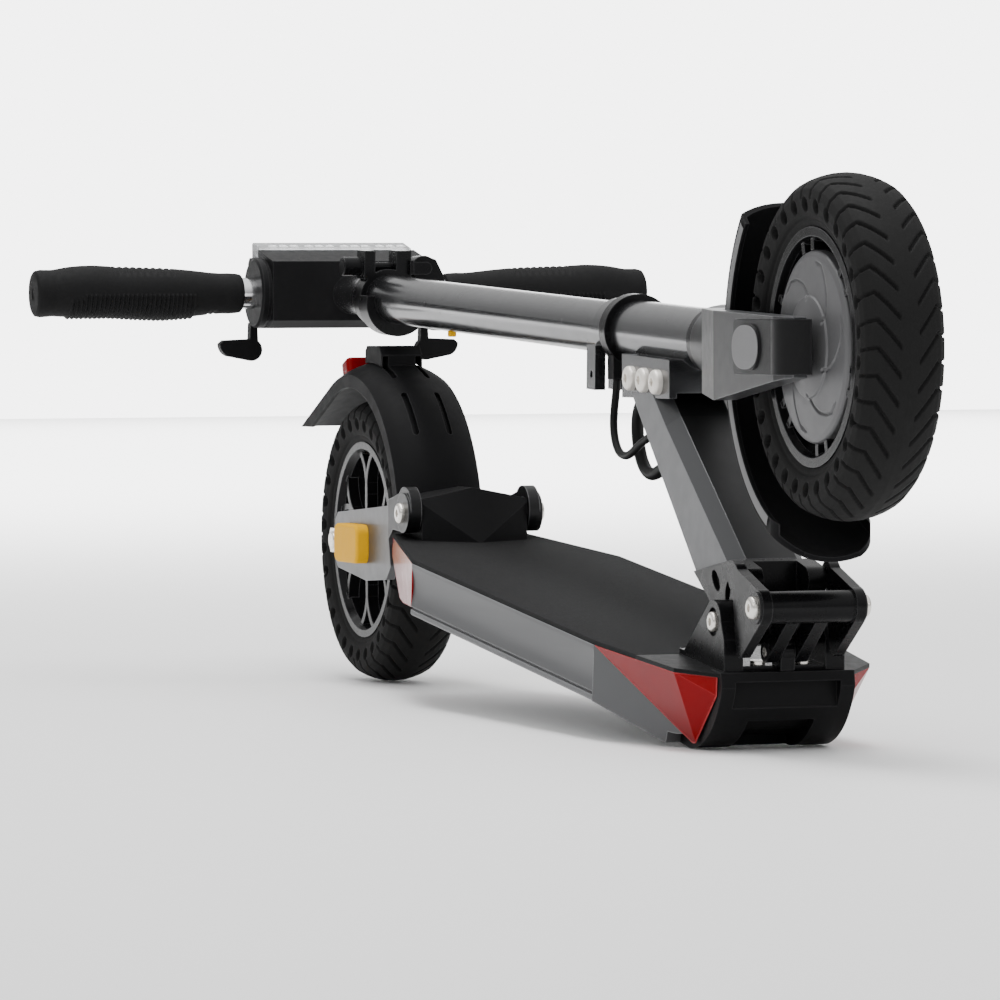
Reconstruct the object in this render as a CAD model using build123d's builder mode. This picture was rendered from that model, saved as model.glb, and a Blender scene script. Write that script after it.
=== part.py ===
"""Electric kick scooter, folded for carrying: +X forward, +Y to the rider's left, +Z up, millimetres.

Stations (st) run forward from the rear axle, and heights are measured from the ground under the
rear tyre and the front end cap, on which the folded scooter stands.
"""
from build123d import *
import os
from math import cos, pi, radians, sin, tan

os.makedirs("parts", exist_ok=True)

# ---- driving dimensions --------------------------------------------------------------------
rear_x = -405.1          # X of the rear axle, with the origin under the middle of the whole object
tyre_radius = 100.0
tyre_half_width = 25.0
rim_radius = 69.0
wheel_station = 866.0    # front wheel ahead of the rear wheel, folded
wheel_height = 238.0     # front wheel centre, folded

deck_tilt = 5.733        # nose-down slope of the deck, degrees
deck_height = 124.3      # top of the mat above the rear axle
deck_half_width = 73.0
deck_thickness = 37.0
mat_thickness = 2.5

fold_station = 750.0     # folding hinge pin
fold_height = 76.0
fold_pin_radius = 4.0
lever_station = 769.0    # pivot of the fold lock lever
lever_height = 58.5
lock_tube_station = 807.0
lock_tube_height = 86.5

arm_station = 178.0      # pivot of the rear swing arm
arm_height = 124.0

steer_slope = 2.445      # fall of the steering axis towards the front wheel, degrees
steer_station = 300.0    # a point that the steering axis passes through
steer_height = 256.5
steerer_radius = 14.0
stem_radius = 16.75
inner_tube_radius = 13.95

bar_station = -114.0     # handlebar axis
bar_height = 274.2
bar_radius = 11.1
bar_half_length = 226.0

pivot_clearance = 0.05   # radial play of every running fit
axle_radius = 6.0


def st(station):
    """World X of a station measured forward from the rear axle."""
    return rear_x + station


def side(y):
    """Sketch plane across the scooter at y: local x is world X, local y is world Z."""
    return Plane(origin=(0, y, 0), x_dir=(1, 0, 0), z_dir=(0, -1, 0))


def level(z):
    """Sketch plane seen from above at height z."""
    return Plane.XY.offset(z)


def outline(points):
    """Points given as (station, height) in world coordinates."""
    return [(st(x), z) for x, z in points]


def save(part, name):
    """Label a finished piece and write its file."""
    part.label = name
    export_step(part, f"parts/{name}.step")


def axis_height(station):
    """Height of the steering axis at a station."""
    return steer_height - (station - steer_station) * tan(radians(steer_slope))


deck_x = Vector(cos(radians(deck_tilt)), 0, -sin(radians(deck_tilt)))
deck_up = Vector(sin(radians(deck_tilt)), 0, cos(radians(deck_tilt)))
deck_top = Plane(origin=(rear_x, 0, deck_height), x_dir=deck_x, z_dir=deck_up)
deck_side = Plane(origin=(rear_x, 0, deck_height), x_dir=deck_x, z_dir=(0, -1, 0))
steer_x = Vector(cos(radians(steer_slope)), 0, -sin(radians(steer_slope)))


def deck_section(s):
    """Plane square to the deck, s along it: local x is +Y and local y points out of the mat."""
    return Plane(origin=deck_top.from_local_coords(Vector(s, 0, 0)), x_dir=(0, 1, 0), z_dir=deck_x)


def steer_section(station):
    """Plane square to the steering axis: local x is +Y and local y points up."""
    return Plane(origin=(st(station), 0, axis_height(station)), x_dir=(0, 1, 0), z_dir=steer_x)


def across(station, height, y):
    """Plane for round pieces that lie across the scooter: extruding goes towards +Y."""
    return Plane(origin=(st(station), y, height), x_dir=(1, 0, 0), z_dir=(0, 1, 0))


def mirrored(points):
    """Close a half outline by reflecting it in the axis where the second coordinate is 0."""
    return points + [(x, -y) for x, y in reversed(points) if abs(y) > 1e-6]


# ---- deck: extruded tray with a cast nose and tail ------------------------------------------
taper_start = 279.0      # s where the rear corners begin
nose_start = 641.0       # s where the nose begins
tail_s = 150.0
cover_half = 61.0
cover_thickness = 3.0
tray_half = 53.0
tray_roof = -7.5
groove_h = -32.2

with BuildPart() as nose_core:
    with BuildSketch(deck_top.offset(-mat_thickness)):
        Polygon(*mirrored([(nose_start, deck_half_width), (738, 43.5), (772, 42)]), align=None)
    extrude(amount=-70)
    with BuildSketch(side(90)):
        with BuildLine():
            Polyline(*outline([(706, 9), (704, 2.2), (634.1, 23.45), (636, 59), (758, 48), (758, 36)]))
            ThreePointArc(*outline([(758, 36), (746, 19.5), (706, 9)]))
        make_face()
    extrude(amount=180, mode=Mode.INTERSECT)

with BuildPart() as deck_frame:
    with BuildSketch(deck_section(taper_start)):
        for hand in (1, -1):
            with BuildLine():
                Polyline(
                    (0, -mat_thickness),
                    (hand * deck_half_width, -mat_thickness),
                    (hand * deck_half_width, -5),
                )
                ThreePointArc(
                    (hand * deck_half_width, -5),
                    (hand * (deck_half_width - 1.6), -18),
                    (hand * deck_half_width, -31),
                )
                Polyline(
                    (hand * deck_half_width, -31),
                    (hand * (deck_half_width - 1.6), groove_h),
                    (hand * deck_half_width, -33.2),
                    (hand * deck_half_width, -36),
                    (hand * (deck_half_width - 1), -deck_thickness),
                    (0, -deck_thickness),
                    (0, -mat_thickness),
                )
            make_face()
    extrude(amount=nose_start - taper_start)
    with BuildSketch(deck_top.offset(-mat_thickness)):
        Polygon(*mirrored([(tail_s, 37.5), (taper_start, 65)]), align=None)
    extrude(amount=mat_thickness - deck_thickness)
    add(nose_core.part)
    with BuildSketch(deck_section(300)):
        with Locations((0, (tray_roof - deck_thickness) / 2)):
            Rectangle(2 * tray_half, deck_thickness + tray_roof)
    extrude(amount=325, mode=Mode.SUBTRACT)
    with BuildSketch(deck_section(290)):
        with Locations((0, cover_thickness / 2 - deck_thickness)):
            Rectangle(2 * cover_half, cover_thickness)
    extrude(amount=345, mode=Mode.SUBTRACT)
    with BuildSketch(deck_top.offset(cover_thickness - deck_thickness)):
        with Locations((462.5, 0)):
            with GridLocations(104, 114, 4, 2):
                Circle(1.6)
    extrude(amount=9, mode=Mode.SUBTRACT)
save(deck_frame.part, "deck_frame")

with BuildPart() as deck_mat:
    with BuildSketch(deck_top.offset(-mat_thickness)):
        Polygon(*mirrored([(152, 46.2), (taper_start, 73), (nose_start, 73), (700, 67.2)]), align=None)
    extrude(amount=mat_thickness)
    chamfer(deck_mat.faces().sort_by(Axis((0, 0, 0), tuple(deck_up)))[-1].edges(), 0.8)
save(deck_mat.part, "deck_mat")

with BuildPart() as bottom_cover:
    with BuildSketch(deck_top.offset(-deck_thickness)):
        with Locations((462.5, 0)):
            Rectangle(344, 2 * cover_half - 1)
            with GridLocations(104, 114, 4, 2):
                Circle(1.7, mode=Mode.SUBTRACT)
    extrude(amount=cover_thickness)
    for s in (400, 462.5, 525):
        with BuildSketch(deck_top.offset(-deck_thickness)):
            with Locations((s, 0)):
                SlotOverall(70, 5, rotation=90)
        extrude(amount=1, mode=Mode.SUBTRACT)
    with BuildSketch(deck_top.offset(-deck_thickness)):
        with Locations((462.5, 0)):
            with GridLocations(104, 114, 4, 2):
                Circle(3.2)
    extrude(amount=1.4, mode=Mode.SUBTRACT)
save(bottom_cover.part, "bottom_cover")

with BuildPart() as cover_screws:
    with BuildSketch(deck_top.offset(-deck_thickness)):
        with Locations((462.5, 0)):
            with GridLocations(104, 114, 4, 2):
                Circle(1.6)
    extrude(amount=11)
    with BuildSketch(deck_top.offset(-deck_thickness)):
        with Locations((462.5, 0)):
            with GridLocations(104, 114, 4, 2):
                Circle(3.2)
    extrude(amount=1.4)

with BuildPart() as battery_pack:
    with BuildSketch(deck_top.offset(cover_thickness - deck_thickness)):
        with Locations((415, 0)):
            Rectangle(216, 98)
    extrude(amount=24)
    fillet(battery_pack.edges().filter_by(Axis.Y), 5)
save(battery_pack.part, "battery_pack")

with BuildPart() as motor_controller:
    with BuildSketch(deck_top.offset(cover_thickness - deck_thickness)):
        with Locations((578, 0)):
            Rectangle(82, 72)
    extrude(amount=4)
    with BuildSketch(deck_top.offset(cover_thickness - deck_thickness + 4)):
        with Locations((578, 0)):
            with GridLocations(8, 0, 9, 1):
                Rectangle(4, 66)
    extrude(amount=16)
    with BuildSketch(deck_top.offset(cover_thickness - deck_thickness + 4)):
        with Locations((578, 0)):
            Rectangle(78, 66)
    extrude(amount=6)
save(motor_controller.part, "motor_controller")



# ---- nose and tail lamps --------------------------------------------------------------------
def facing(a, b, c, inside):
    """Plane through three points, with its normal pointing away from the point inside."""
    normal = (b - a).cross(c - a).normalized()
    if normal.dot(inside - a) > 0:
        normal = normal * -1
    return Plane(origin=a, z_dir=normal)


lamp_edge_s, lamp_edge_y = 752.0, 62.0
lamp_tip = Vector(st(736), 44.5, 5.0)


def front_lamp(hand, plan, top, depth):
    """One block of a nose lamp, cut by the lamp's two slanted outer faces and the nose curve."""
    def at(s, y, h):
        return deck_top.from_local_coords(Vector(s, hand * y, h))
    tip = Vector(lamp_tip.X, hand * lamp_tip.Y, lamp_tip.Z)
    core = at(700, 30, -10)
    heel = at(nose_start, deck_half_width, top)
    edge = at(lamp_edge_s, lamp_edge_y, top)
    toe = Vector(st(773), hand * 42.6, 38)
    with BuildPart() as block:
        with BuildSketch(deck_top.offset(top)):
            Polygon(*[(s, hand * y) for s, y in plan], align=None)
        extrude(amount=-depth)
        split(bisect_by=facing(heel, edge, tip, core), keep=Keep.BOTTOM)
        split(bisect_by=facing(edge, toe, tip, core), keep=Keep.BOTTOM)
        with BuildSketch(side(90)):
            with BuildLine():
                Polyline(*outline([(719, 0), (600, 0), (600, 90), (773.3, 90), (773.3, 46), (774.6, 38)]))
                ThreePointArc(*outline([(774.6, 38), (758.5, 15), (719, 0)]))
            make_face()
        extrude(amount=180, mode=Mode.INTERSECT)
    return block.part


lamp_top = -mat_thickness
lamp_plan = [(nose_start + 1, 72.7), (lamp_edge_s, lamp_edge_y), (773.5, 42.5), (739, 44)]
save(Compound(children=[front_lamp(hand, lamp_plan, lamp_top, 60) for hand in (1, -1)]), "front_lenses")

with BuildPart() as rear_lenses:
    for hand in (1, -1):
        with BuildSketch(deck_top.offset(-mat_thickness)):
            Polygon((146, hand * 44.3), (taper_start - 0.3, hand * 72.8), (taper_start - 0.3, hand * 65.1),
                    (149.5, hand * 37.6), align=None)
        extrude(amount=-36)
    with BuildSketch(deck_side):
        Polygon((130, 0), (290, 0), (290, -31.5), (279, -31.5), (225, -36.5), (203, -36.5), (146, -16),
                (130, -12), align=None)
    extrude(amount=100, both=True, mode=Mode.INTERSECT)
save(rear_lenses.part, "rear_lenses")

# ---- front end cap --------------------------------------------------------------------------
with BuildPart() as front_end_cap:
    with BuildSketch(side(42)):
        with BuildLine():
            Polyline(*outline([(706, 9), (704, 2.2), (719, 0)]))
            ThreePointArc(*outline([(719, 0), (759, 14.5), (775, 38)]))
            Polyline(*outline([(775, 38), (773.6, 47.1), (758, 48.68), (758, 36)]))
            ThreePointArc(*outline([(758, 36), (746, 19.5), (706, 9)]))
        make_face()
    extrude(amount=84)
    with BuildSketch(Plane(origin=(st(790), 0, 33.5), x_dir=(0, 1, 0), z_dir=(1, 0, 0))):
        Rectangle(66, 15.5)
    extrude(amount=-22, mode=Mode.SUBTRACT)
    with BuildSketch(side(21)):
        Polygon(*outline([(790, 18), (755, 18), (742, 12), (722, 7), (716, 7), (716, -5), (790, -5)]),
                align=None)
    extrude(amount=42, mode=Mode.SUBTRACT)
    with BuildSketch(deck_top.offset(-mat_thickness)):
        Polygon(*mirrored([(700.2, 67.2), (lamp_edge_s, lamp_edge_y), (776.5, 42)]), align=None)
    extrude(amount=mat_thickness)

# ---- folding hinge on the deck --------------------------------------------------------------
ear_inner, ear_outer = 26.0, 38.0
boss_radius = 13.0
with BuildPart() as hinge_base:
    for y_far in (ear_outer, -ear_inner):
        with BuildSketch(side(y_far)):
            Polygon(*outline([(697, 54.3), (740.5, 85), (762.5, 77.5), (768, 66), (768, 47.3)]), align=None)
            with Locations((st(fold_station), fold_height)):
                Circle(boss_radius)
        extrude(amount=ear_outer - ear_inner)
    with BuildSketch(deck_top):
        with Locations((733, 0)):
            Rectangle(74, 2 * ear_outer)
    extrude(amount=3)
    with BuildSketch(side(4.4)):
        Polygon(*outline([(758, 49), (762.3, 58), (775.5, 60), (773, 47.5)]), align=None)
        with Locations((st(lever_station), lever_height)):
            Circle(6.5)
    extrude(amount=8.8)
    with BuildSketch(across(fold_station, fold_height, -50)):
        Circle(fold_pin_radius)
    extrude(amount=100, mode=Mode.SUBTRACT)
    with BuildSketch(across(lever_station, lever_height, -20)):
        Circle(3)
    extrude(amount=40, mode=Mode.SUBTRACT)
    for y_face in (ear_outer, -ear_outer):
        with BuildSketch(across(fold_station, fold_height, y_face)):
            Circle(8.5)
        extrude(amount=2 if y_face < 0 else -2, mode=Mode.SUBTRACT)
    with BuildSketch(deck_top.offset(3)):
        with Locations((706, -16), (706, 16), (764, -14), (764, 14)):
            Circle(2.5)
    extrude(amount=-5.5, mode=Mode.SUBTRACT)
save(hinge_base.part, "hinge_base")

with BuildPart() as hinge_pins:
    with BuildSketch(across(fold_station, fold_height, 1.5 - ear_outer)):
        Circle(fold_pin_radius)
    extrude(amount=2 * ear_outer - 3)
    for y_face, way in ((ear_outer - 2, 1), (2 - ear_outer, -1)):
        with BuildSketch(across(fold_station, fold_height, y_face)):
            Circle(6)
        extrude(amount=4.2 * way)
    fillet(hinge_pins.faces().sort_by(Axis.Y)[-1].edges(), 1.6)
    fillet(hinge_pins.faces().sort_by(Axis.Y)[0].edges(), 1.6)
    for y_face, way in ((ear_outer + 2.2, -1), (-ear_outer - 2.2, 1)):
        with BuildSketch(across(fold_station, fold_height, y_face)):
            RegularPolygon(2.6, 6)
        extrude(amount=2 * way, mode=Mode.SUBTRACT)
    with BuildSketch(across(lever_station, lever_height, -13.2)):
        Circle(3)
    extrude(amount=26.4)
save(hinge_pins.part, "hinge_pins")

with BuildPart() as hinge_screws:
    for x, y in ((706, -16), (706, 16), (764, -14), (764, 14)):
        with BuildSketch(deck_top.offset(-2.5)):
            with Locations((x, y)):
                Circle(2.5)
        extrude(amount=5.5)
        with BuildSketch(deck_top.offset(3)):
            with Locations((x, y)):
                Circle(4.5)
        extrude(amount=2.4)
save(Compound(children=[hinge_screws.part, cover_screws.part]), "deck_screws")
save(front_end_cap.part - hinge_base.part - hinge_screws.part, "front_end_cap")

# ---- fold lock lever ------------------------------------------------------------------------
lock_ear_inner, lock_ear_outer = 26.2, 32.5
with BuildPart() as lock_lever:
    for y_far in (lock_ear_outer, -lock_ear_inner):
        with BuildSketch(side(y_far)):
            with Locations((st(lock_tube_station), lock_tube_height)):
                Circle(11)
            with Locations((st(769), 103)):
                Circle(8.5)
            with Locations((st(779), 61)):
                Circle(5)
            Polygon(*outline([(768, 94.5), (766, 111), (812, 96.3), (812, 76.6), (781, 56.5), (774, 61)]),
                    align=None)
        extrude(amount=lock_ear_outer - lock_ear_inner)
    for y_far in (13, -5):
        with BuildSketch(side(y_far)):
            with Locations((st(lever_station), lever_height)):
                Circle(6.2)
            Polygon(*outline([(765, 63.3), (800, 89), (808, 79), (772, 53.1)]), align=None)
        extrude(amount=8)
    with BuildSketch(across(lever_station, lever_height, -20)):
        Circle(3 + pivot_clearance)
    extrude(amount=40, mode=Mode.SUBTRACT)
    with BuildSketch(across(lock_tube_station, lock_tube_height, -lock_ear_outer - 1)):
        Circle(9.5)
    extrude(amount=2 * lock_ear_outer + 2)
    with BuildSketch(across(lock_tube_station, lock_tube_height, -lock_ear_outer - 1)):
        Circle(4)
    extrude(amount=2 * lock_ear_outer + 2, mode=Mode.SUBTRACT)
save(lock_lever.part, "lock_lever")

with BuildPart() as lock_lever_bolt:
    with BuildSketch(across(lock_tube_station, lock_tube_height, -lock_ear_outer - 1)):
        Circle(4)
    extrude(amount=2 * lock_ear_outer + 2)
    for y_face, way in ((lock_ear_outer + 1, 1), (-lock_ear_outer - 1, -1)):
        with BuildSketch(across(lock_tube_station, lock_tube_height, y_face)):
            Circle(6.8)
        extrude(amount=4 * way)
    fillet(lock_lever_bolt.faces().sort_by(Axis.Y)[-1].edges(), 2.4)
    fillet(lock_lever_bolt.faces().sort_by(Axis.Y)[0].edges(), 2.4)
    for y_face, way in ((lock_ear_outer + 5, -1), (-lock_ear_outer - 5, 1)):
        with BuildSketch(across(lock_tube_station, lock_tube_height, y_face)):
            RegularPolygon(2.6, 6)
        extrude(amount=2 * way, mode=Mode.SUBTRACT)
save(lock_lever_bolt.part, "lock_lever_bolt")

# ---- neck arm, hinge knuckle and head tube --------------------------------------------------
cheek_inner, cheek_outer = 14.0, 25.6
with BuildPart() as hinge_knuckle:
    with BuildSketch(side(cheek_outer)):
        Polygon(*outline([(684, 103.2), (748, 112.3), (765, 108.5), (763, 72), (742, 65), (722, 80)]),
                align=None)
        with Locations((st(764), 100.5)):
            Circle(8)
        with Locations((st(fold_station), fold_height)):
            Circle(14)
    extrude(amount=2 * cheek_outer)
    with BuildSketch(side(cheek_inner)):
        Polygon(*outline([(752.5, 120), (752.5, 92), (763, 83), (770, 60), (790, 60), (790, 120)]),
                align=None)
        with Locations((st(fold_station), fold_height)):
            Circle(14, mode=Mode.SUBTRACT)
    extrude(amount=2 * cheek_inner, mode=Mode.SUBTRACT)
    with BuildSketch(across(fold_station, fold_height, -40)):
        Circle(fold_pin_radius + pivot_clearance)
    extrude(amount=80, mode=Mode.SUBTRACT)
    for y_far in (30, -22):
        with BuildSketch(side(y_far)):
            with Locations((st(722), 99)):
                Ellipse(8, 4.5, rotation=-40)
            with Locations((st(742), 93)):
                Ellipse(4, 7, rotation=-20)
        extrude(amount=8, mode=Mode.SUBTRACT)
save(hinge_knuckle.part, "hinge_knuckle")

spar_half = 24.0
spar_chamfer = 8.0
with BuildPart() as neck_arm:
    with BuildSketch(side(spar_half)):
        Polygon(*outline([(684, 103.2), (570.5, 209), (620.5, 209), (637, 195.5), (748, 112.3)]), align=None)
    extrude(amount=2 * spar_half)
    chamfer(neck_arm.edges().filter_by(Plane.XZ).group_by(Axis((0, 0, 0), (0.6, 0, 0.8)))[-1], spar_chamfer)
save(neck_arm.part, "neck_arm")

with BuildPart() as cable_cover:
    with BuildSketch(side(21)):
        Polygon(*outline([(582, 198.3), (574.5, 193.5), (680, 95), (688, 99.5)]), align=None)
    extrude(amount=42)
    chamfer(cable_cover.edges().filter_by(Plane.XZ).group_by(Axis((0, 0, 0), (-0.68, 0, -0.73)))[-1], 3)

head_start, head_end = 518.0, 661.0
head_radius, head_bore = 19.0, 17.0
with BuildPart() as head_tube:
    with BuildSketch(steer_section(head_start)):
        Circle(head_radius)
    extrude(amount=head_end - head_start)
    with BuildSketch(side(23.5)):
        Polygon(*outline([(552, 206), (637, 206), (637, 229.5), (552, 233)]), align=None)
    extrude(amount=47)
    with BuildSketch(side(18.5)):
        Polygon(*outline([(540, 209.2), (650, 209.2), (650, 190), (540, 190)]), align=None)
    extrude(amount=37, mode=Mode.SUBTRACT)
    with BuildSketch(steer_section(head_start - 1)):
        Circle(head_bore)
    extrude(amount=head_end - head_start + 2, mode=Mode.SUBTRACT)
save(head_tube.part - neck_arm.part, "head_tube")

gusset_bolts = ((571.5, 218.0), (595.0, 217.0), (618.5, 216.0))
with BuildPart() as gusset_screws:
    for hand in (1, -1):
        for x, z in gusset_bolts:
            with BuildSketch(across(x, z, 23.5 * hand)):
                Circle(7.6)
            extrude(amount=5 * hand)
    fillet(gusset_screws.faces().filter_by(Axis.Y).group_by(Axis.Y)[-1].edges(), 2.6)
    fillet(gusset_screws.faces().filter_by(Axis.Y).group_by(Axis.Y)[0].edges(), 2.6)
    for hand in (1, -1):
        for x, z in gusset_bolts:
            with BuildSketch(across(x, z, 28.5 * hand)):
                RegularPolygon(3, 6)
            extrude(amount=-2.5 * hand, mode=Mode.SUBTRACT)
save(gusset_screws.part, "gusset_screws")

bearing_width = 9.0
with BuildPart() as headset_bearings:
    for start in (head_start, head_end - bearing_width):
        with BuildSketch(steer_section(start)):
            Circle(head_bore)
            Circle(steerer_radius + pivot_clearance, mode=Mode.SUBTRACT)
        extrude(amount=bearing_width)
save(headset_bearings.part, "headset_bearings")

with BuildPart() as headset_cups:
    with BuildSketch(steer_section(head_start - 12)):
        Circle(23)
        Circle(16, mode=Mode.SUBTRACT)
    extrude(amount=12)
    with BuildSketch(steer_section(head_end)):
        Circle(21.5)
        Circle(16, mode=Mode.SUBTRACT)
    extrude(amount=9)
    chamfer(headset_cups.faces().sort_by(Axis.X)[0].edges(), 1.5)
    chamfer(headset_cups.faces().sort_by(Axis.X)[-1].edges(), 1.2)
save(headset_cups.part, "headset_cups")

# ---- cable loops between the head tube and the neck arm -------------------------------------
with BuildPart() as cable_guide:
    with BuildSketch(side(-7)):
        Polygon(*outline([(507, 217), (518, 217), (518, 234), (507, 234)]), align=None)
    extrude(amount=10)
    with BuildSketch(steer_section(500)):
        Circle(23)
    extrude(amount=30, mode=Mode.SUBTRACT)


def cable(points, radius):
    """Tube of straight runs joined by tangent arcs, each as large as its two runs allow."""
    nodes = [Vector(st(x), y, z) for x, y, z in points]
    runs = [b - a for a, b in zip(nodes, nodes[1:])]
    radii = []
    for first, second in zip(runs, runs[1:]):
        half_turn = radians(first.get_angle(second)) / 2
        radii.append(0.45 * min(first.length, second.length) / tan(half_turn))
    with BuildPart() as tube:
        with BuildLine() as path:
            FilletPolyline(*nodes, radius=radii)
        with BuildSketch(Plane(origin=nodes[0], z_dir=runs[0])):
            Circle(radius)
        sweep()
    length = path.wire().length
    print("cable length", round(length, 1), "radii", [round(r, 1) for r in radii],
          "volume ratio", round(tube.part.volume / (length * pi * radius ** 2), 4))
    return tube.part


thin_route = [
    (511.0, -12.0, 217.0), (509.5, -12.3, 208.0), (508.0, -13.0, 198.0), (509.0, -14.0, 187.0),
    (514.0, -14.5, 177.5), (522.5, -15.0, 171.0), (533.0, -15.0, 169.0), (543.5, -15.2, 170.3),
    (554.0, -15.0, 174.5), (564.0, -14.5, 178.5), (574.0, -14.0, 181.0), (583.4, -13.6, 185.5),
]
thick_route = [
    (546.0, -4.0, 206.5), (535.0, -3.0, 204.5), (523.5, -2.0, 198.5), (517.0, -1.0, 188.5),
    (516.0, 0.0, 177.0), (520.5, 0.5, 166.5), (529.5, 0.5, 159.5), (541.0, 0.0, 157.5),
    (553.0, -0.5, 159.0), (565.0, -1.0, 162.5), (577.0, -1.5, 164.5), (591.5, -2.0, 166.0),
]
thin_loop = cable(thin_route, 2.5)
thick_loop = cable(thick_route, 4.0)
save(thin_loop, "brake_cable_loop")
save(thick_loop, "power_cable_loop")
covers = [cable_cover.part - neck_arm.part - hinge_knuckle.part - thin_loop - thick_loop,
          cable_guide.part - thin_loop]
save(Compound(children=covers), "cable_covers")

# ---- steering assembly ----------------------------------------------------------------------
fork_inner, fork_outer = 31.0, 45.0
steerer_start = 425.0
cover_floor = 38.0
with BuildPart() as fork:
    with BuildSketch(level(300)):
        half = [(688, 20), (700, 24), (714, 31), (771, fork_outer), (868, fork_outer), (880, 43),
                (892, 34), (893, fork_inner), (748, fork_inner), (730, 22), (724, 0)]
        Polygon(*[(st(x), y) for x, y in half], (st(688), 0), align=None)
        Polygon(*[(st(x), -y) for x, y in half], (st(688), 0), align=None)
    extrude(amount=-120)
    with BuildSketch(side(60)):
        with BuildLine():
            Polyline(*outline([(688, 217), (700, 211), (771, 206.8), (884, 220.5)]))
            ThreePointArc(*outline([(884, 220.5), (897, 238), (884, 255.3)]))
            Polyline(*outline([(884, 255.3), (771, 259.4), (700, 261), (688, 257), (688, 217)]))
        make_face()
    extrude(amount=120, mode=Mode.INTERSECT)
    with BuildSketch(steer_section(670.5)):
        Circle(22.5)
    extrude(amount=34)
    for y_near in (60, -cover_floor):
        with BuildSketch(side(y_near)):
            Polygon(*outline([(807, 222.5), (900, 222.5), (900, 254), (807, 254)]), align=None)
        extrude(amount=60 - cover_floor, mode=Mode.SUBTRACT)
    with BuildSketch(across(wheel_station, wheel_height, -60)):
        Circle(axle_radius)
    extrude(amount=120, mode=Mode.SUBTRACT)
    with BuildSketch(side(60)):
        Polygon(*outline([(885, 200), (910, 200), (910, 280), (885, 280)]), align=None)
    extrude(amount=120, mode=Mode.SUBTRACT)
    with BuildSketch(steer_section(steerer_start)):
        Circle(steerer_radius)
    extrude(amount=704 - steerer_start)
    with BuildSketch(steer_section(steerer_start)):
        Circle(steerer_radius - 3)
    extrude(amount=704 - steerer_start, mode=Mode.SUBTRACT)
save(fork.part, "fork")

with BuildPart() as fork_covers:
    for hand in (1, -1):
        with BuildSketch(level(254)):
            with BuildLine():
                Polyline((st(894), hand * 31.5), (st(885), hand * 31.5), (st(885), hand * 38),
                         (st(807.5), hand * 38), (st(807.5), hand * 46.5), (st(868), hand * 46.5))
                ThreePointArc((st(868), hand * 46.5), (st(887), hand * 41.5), (st(894), hand * 31.5))
            make_face()
        extrude(amount=-31.5)
        with BuildSketch(across(wheel_station, wheel_height, hand * 37)):
            Circle(12)
        extrude(amount=hand * 7.5, mode=Mode.SUBTRACT)
        with BuildSketch(across(830, wheel_height, hand * 46.5)):
            SlotOverall(42, 26.5)
        extrude(amount=1.2 * hand)
    fillet(fork_covers.edges().filter_by(Axis.Y).group_by(Axis.X)[0], 3)
save(fork_covers.part, "fork_covers")


def axle(station, height, half_length, nut_face, nut_thickness):
    """Round axle across the scooter with a hexagon nut on each end."""
    with BuildPart() as shaft:
        with BuildSketch(across(station, height, -half_length)):
            Circle(axle_radius)
        extrude(amount=2 * half_length)
        chamfer(shaft.faces().filter_by(Axis.Y).edges(), 0.8)
        for hand in (1, -1):
            with BuildSketch(across(station, height, hand * nut_face)):
                RegularPolygon(8.5, 6, major_radius=False)
            extrude(amount=nut_thickness * hand)
    return shaft.part


save(axle(wheel_station, wheel_height, 43.5, cover_floor, 5), "front_axle")

fender_inner, fender_edge, fender_crown = 107.0, 116.0, 126.0
fender_half = 30.5


# Arched mudguard section: local x is the radius from the wheel centre and local y is +Y.
with BuildSketch() as fender_section:
    with BuildLine():
        ThreePointArc((fender_edge, -fender_half), (fender_crown, 0), (fender_edge, fender_half))
        Polyline((fender_edge, fender_half), (fender_inner, fender_half), (fender_inner, fender_half - 2.5),
                 (fender_edge - 3, fender_half - 2.5))
        ThreePointArc((fender_edge - 3, fender_half - 2.5), (fender_crown - 3, 0),
                      (fender_edge - 3, 2.5 - fender_half))
        Polyline((fender_edge - 3, 2.5 - fender_half), (fender_inner, 2.5 - fender_half),
                 (fender_inner, -fender_half), (fender_edge, -fender_half))
    make_face()


def radial_plane(station, height, angle):
    """Plane through a wheel's axis: local x points away from the axle at an angle above +X."""
    return Plane(origin=(st(station), 0, height), x_dir=(cos(radians(angle)), 0, sin(radians(angle))),
                 z_dir=(-sin(radians(angle)), 0, cos(radians(angle))))


with BuildPart() as front_fender:
    with BuildSketch(radial_plane(wheel_station, wheel_height, 260)):
        add(fender_section.sketch)
    revolve(axis=Axis((st(wheel_station), 0, wheel_height), (0, 1, 0)), revolution_arc=122)
    with BuildSketch(level(231)):
        with Locations((st(731), 0)):
            Rectangle(22, 28)
    extrude(amount=14)
    with BuildSketch(across(wheel_station, wheel_height, -20)):
        Circle(fender_crown - 2.5)
    extrude(amount=40, mode=Mode.SUBTRACT)
    with BuildSketch(radial_plane(wheel_station, wheel_height, 260)):
        add(fender_section.sketch)
    revolve(axis=Axis((st(wheel_station), 0, wheel_height), (0, 1, 0)), revolution_arc=122)

# The lower end of the front mudguard is rounded like a spoon.
tip_x = st(wheel_station) + fender_inner * cos(radians(260))
with BuildPart() as tip_corners:
    for hand in (1, -1):
        with BuildSketch(level(100)):
            with BuildLine():
                ThreePointArc((tip_x - 24, hand * 30.6), (tip_x - 7, hand * 23.5), (tip_x, hand * 6))
                Polyline((tip_x, hand * 6), (tip_x + 10, hand * 6), (tip_x + 10, hand * 34),
                         (tip_x - 24, hand * 34), (tip_x - 24, hand * 30.6))
            make_face()
        extrude(amount=45)
save(front_fender.part - fork.part - tip_corners.part, "front_fender")

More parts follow.
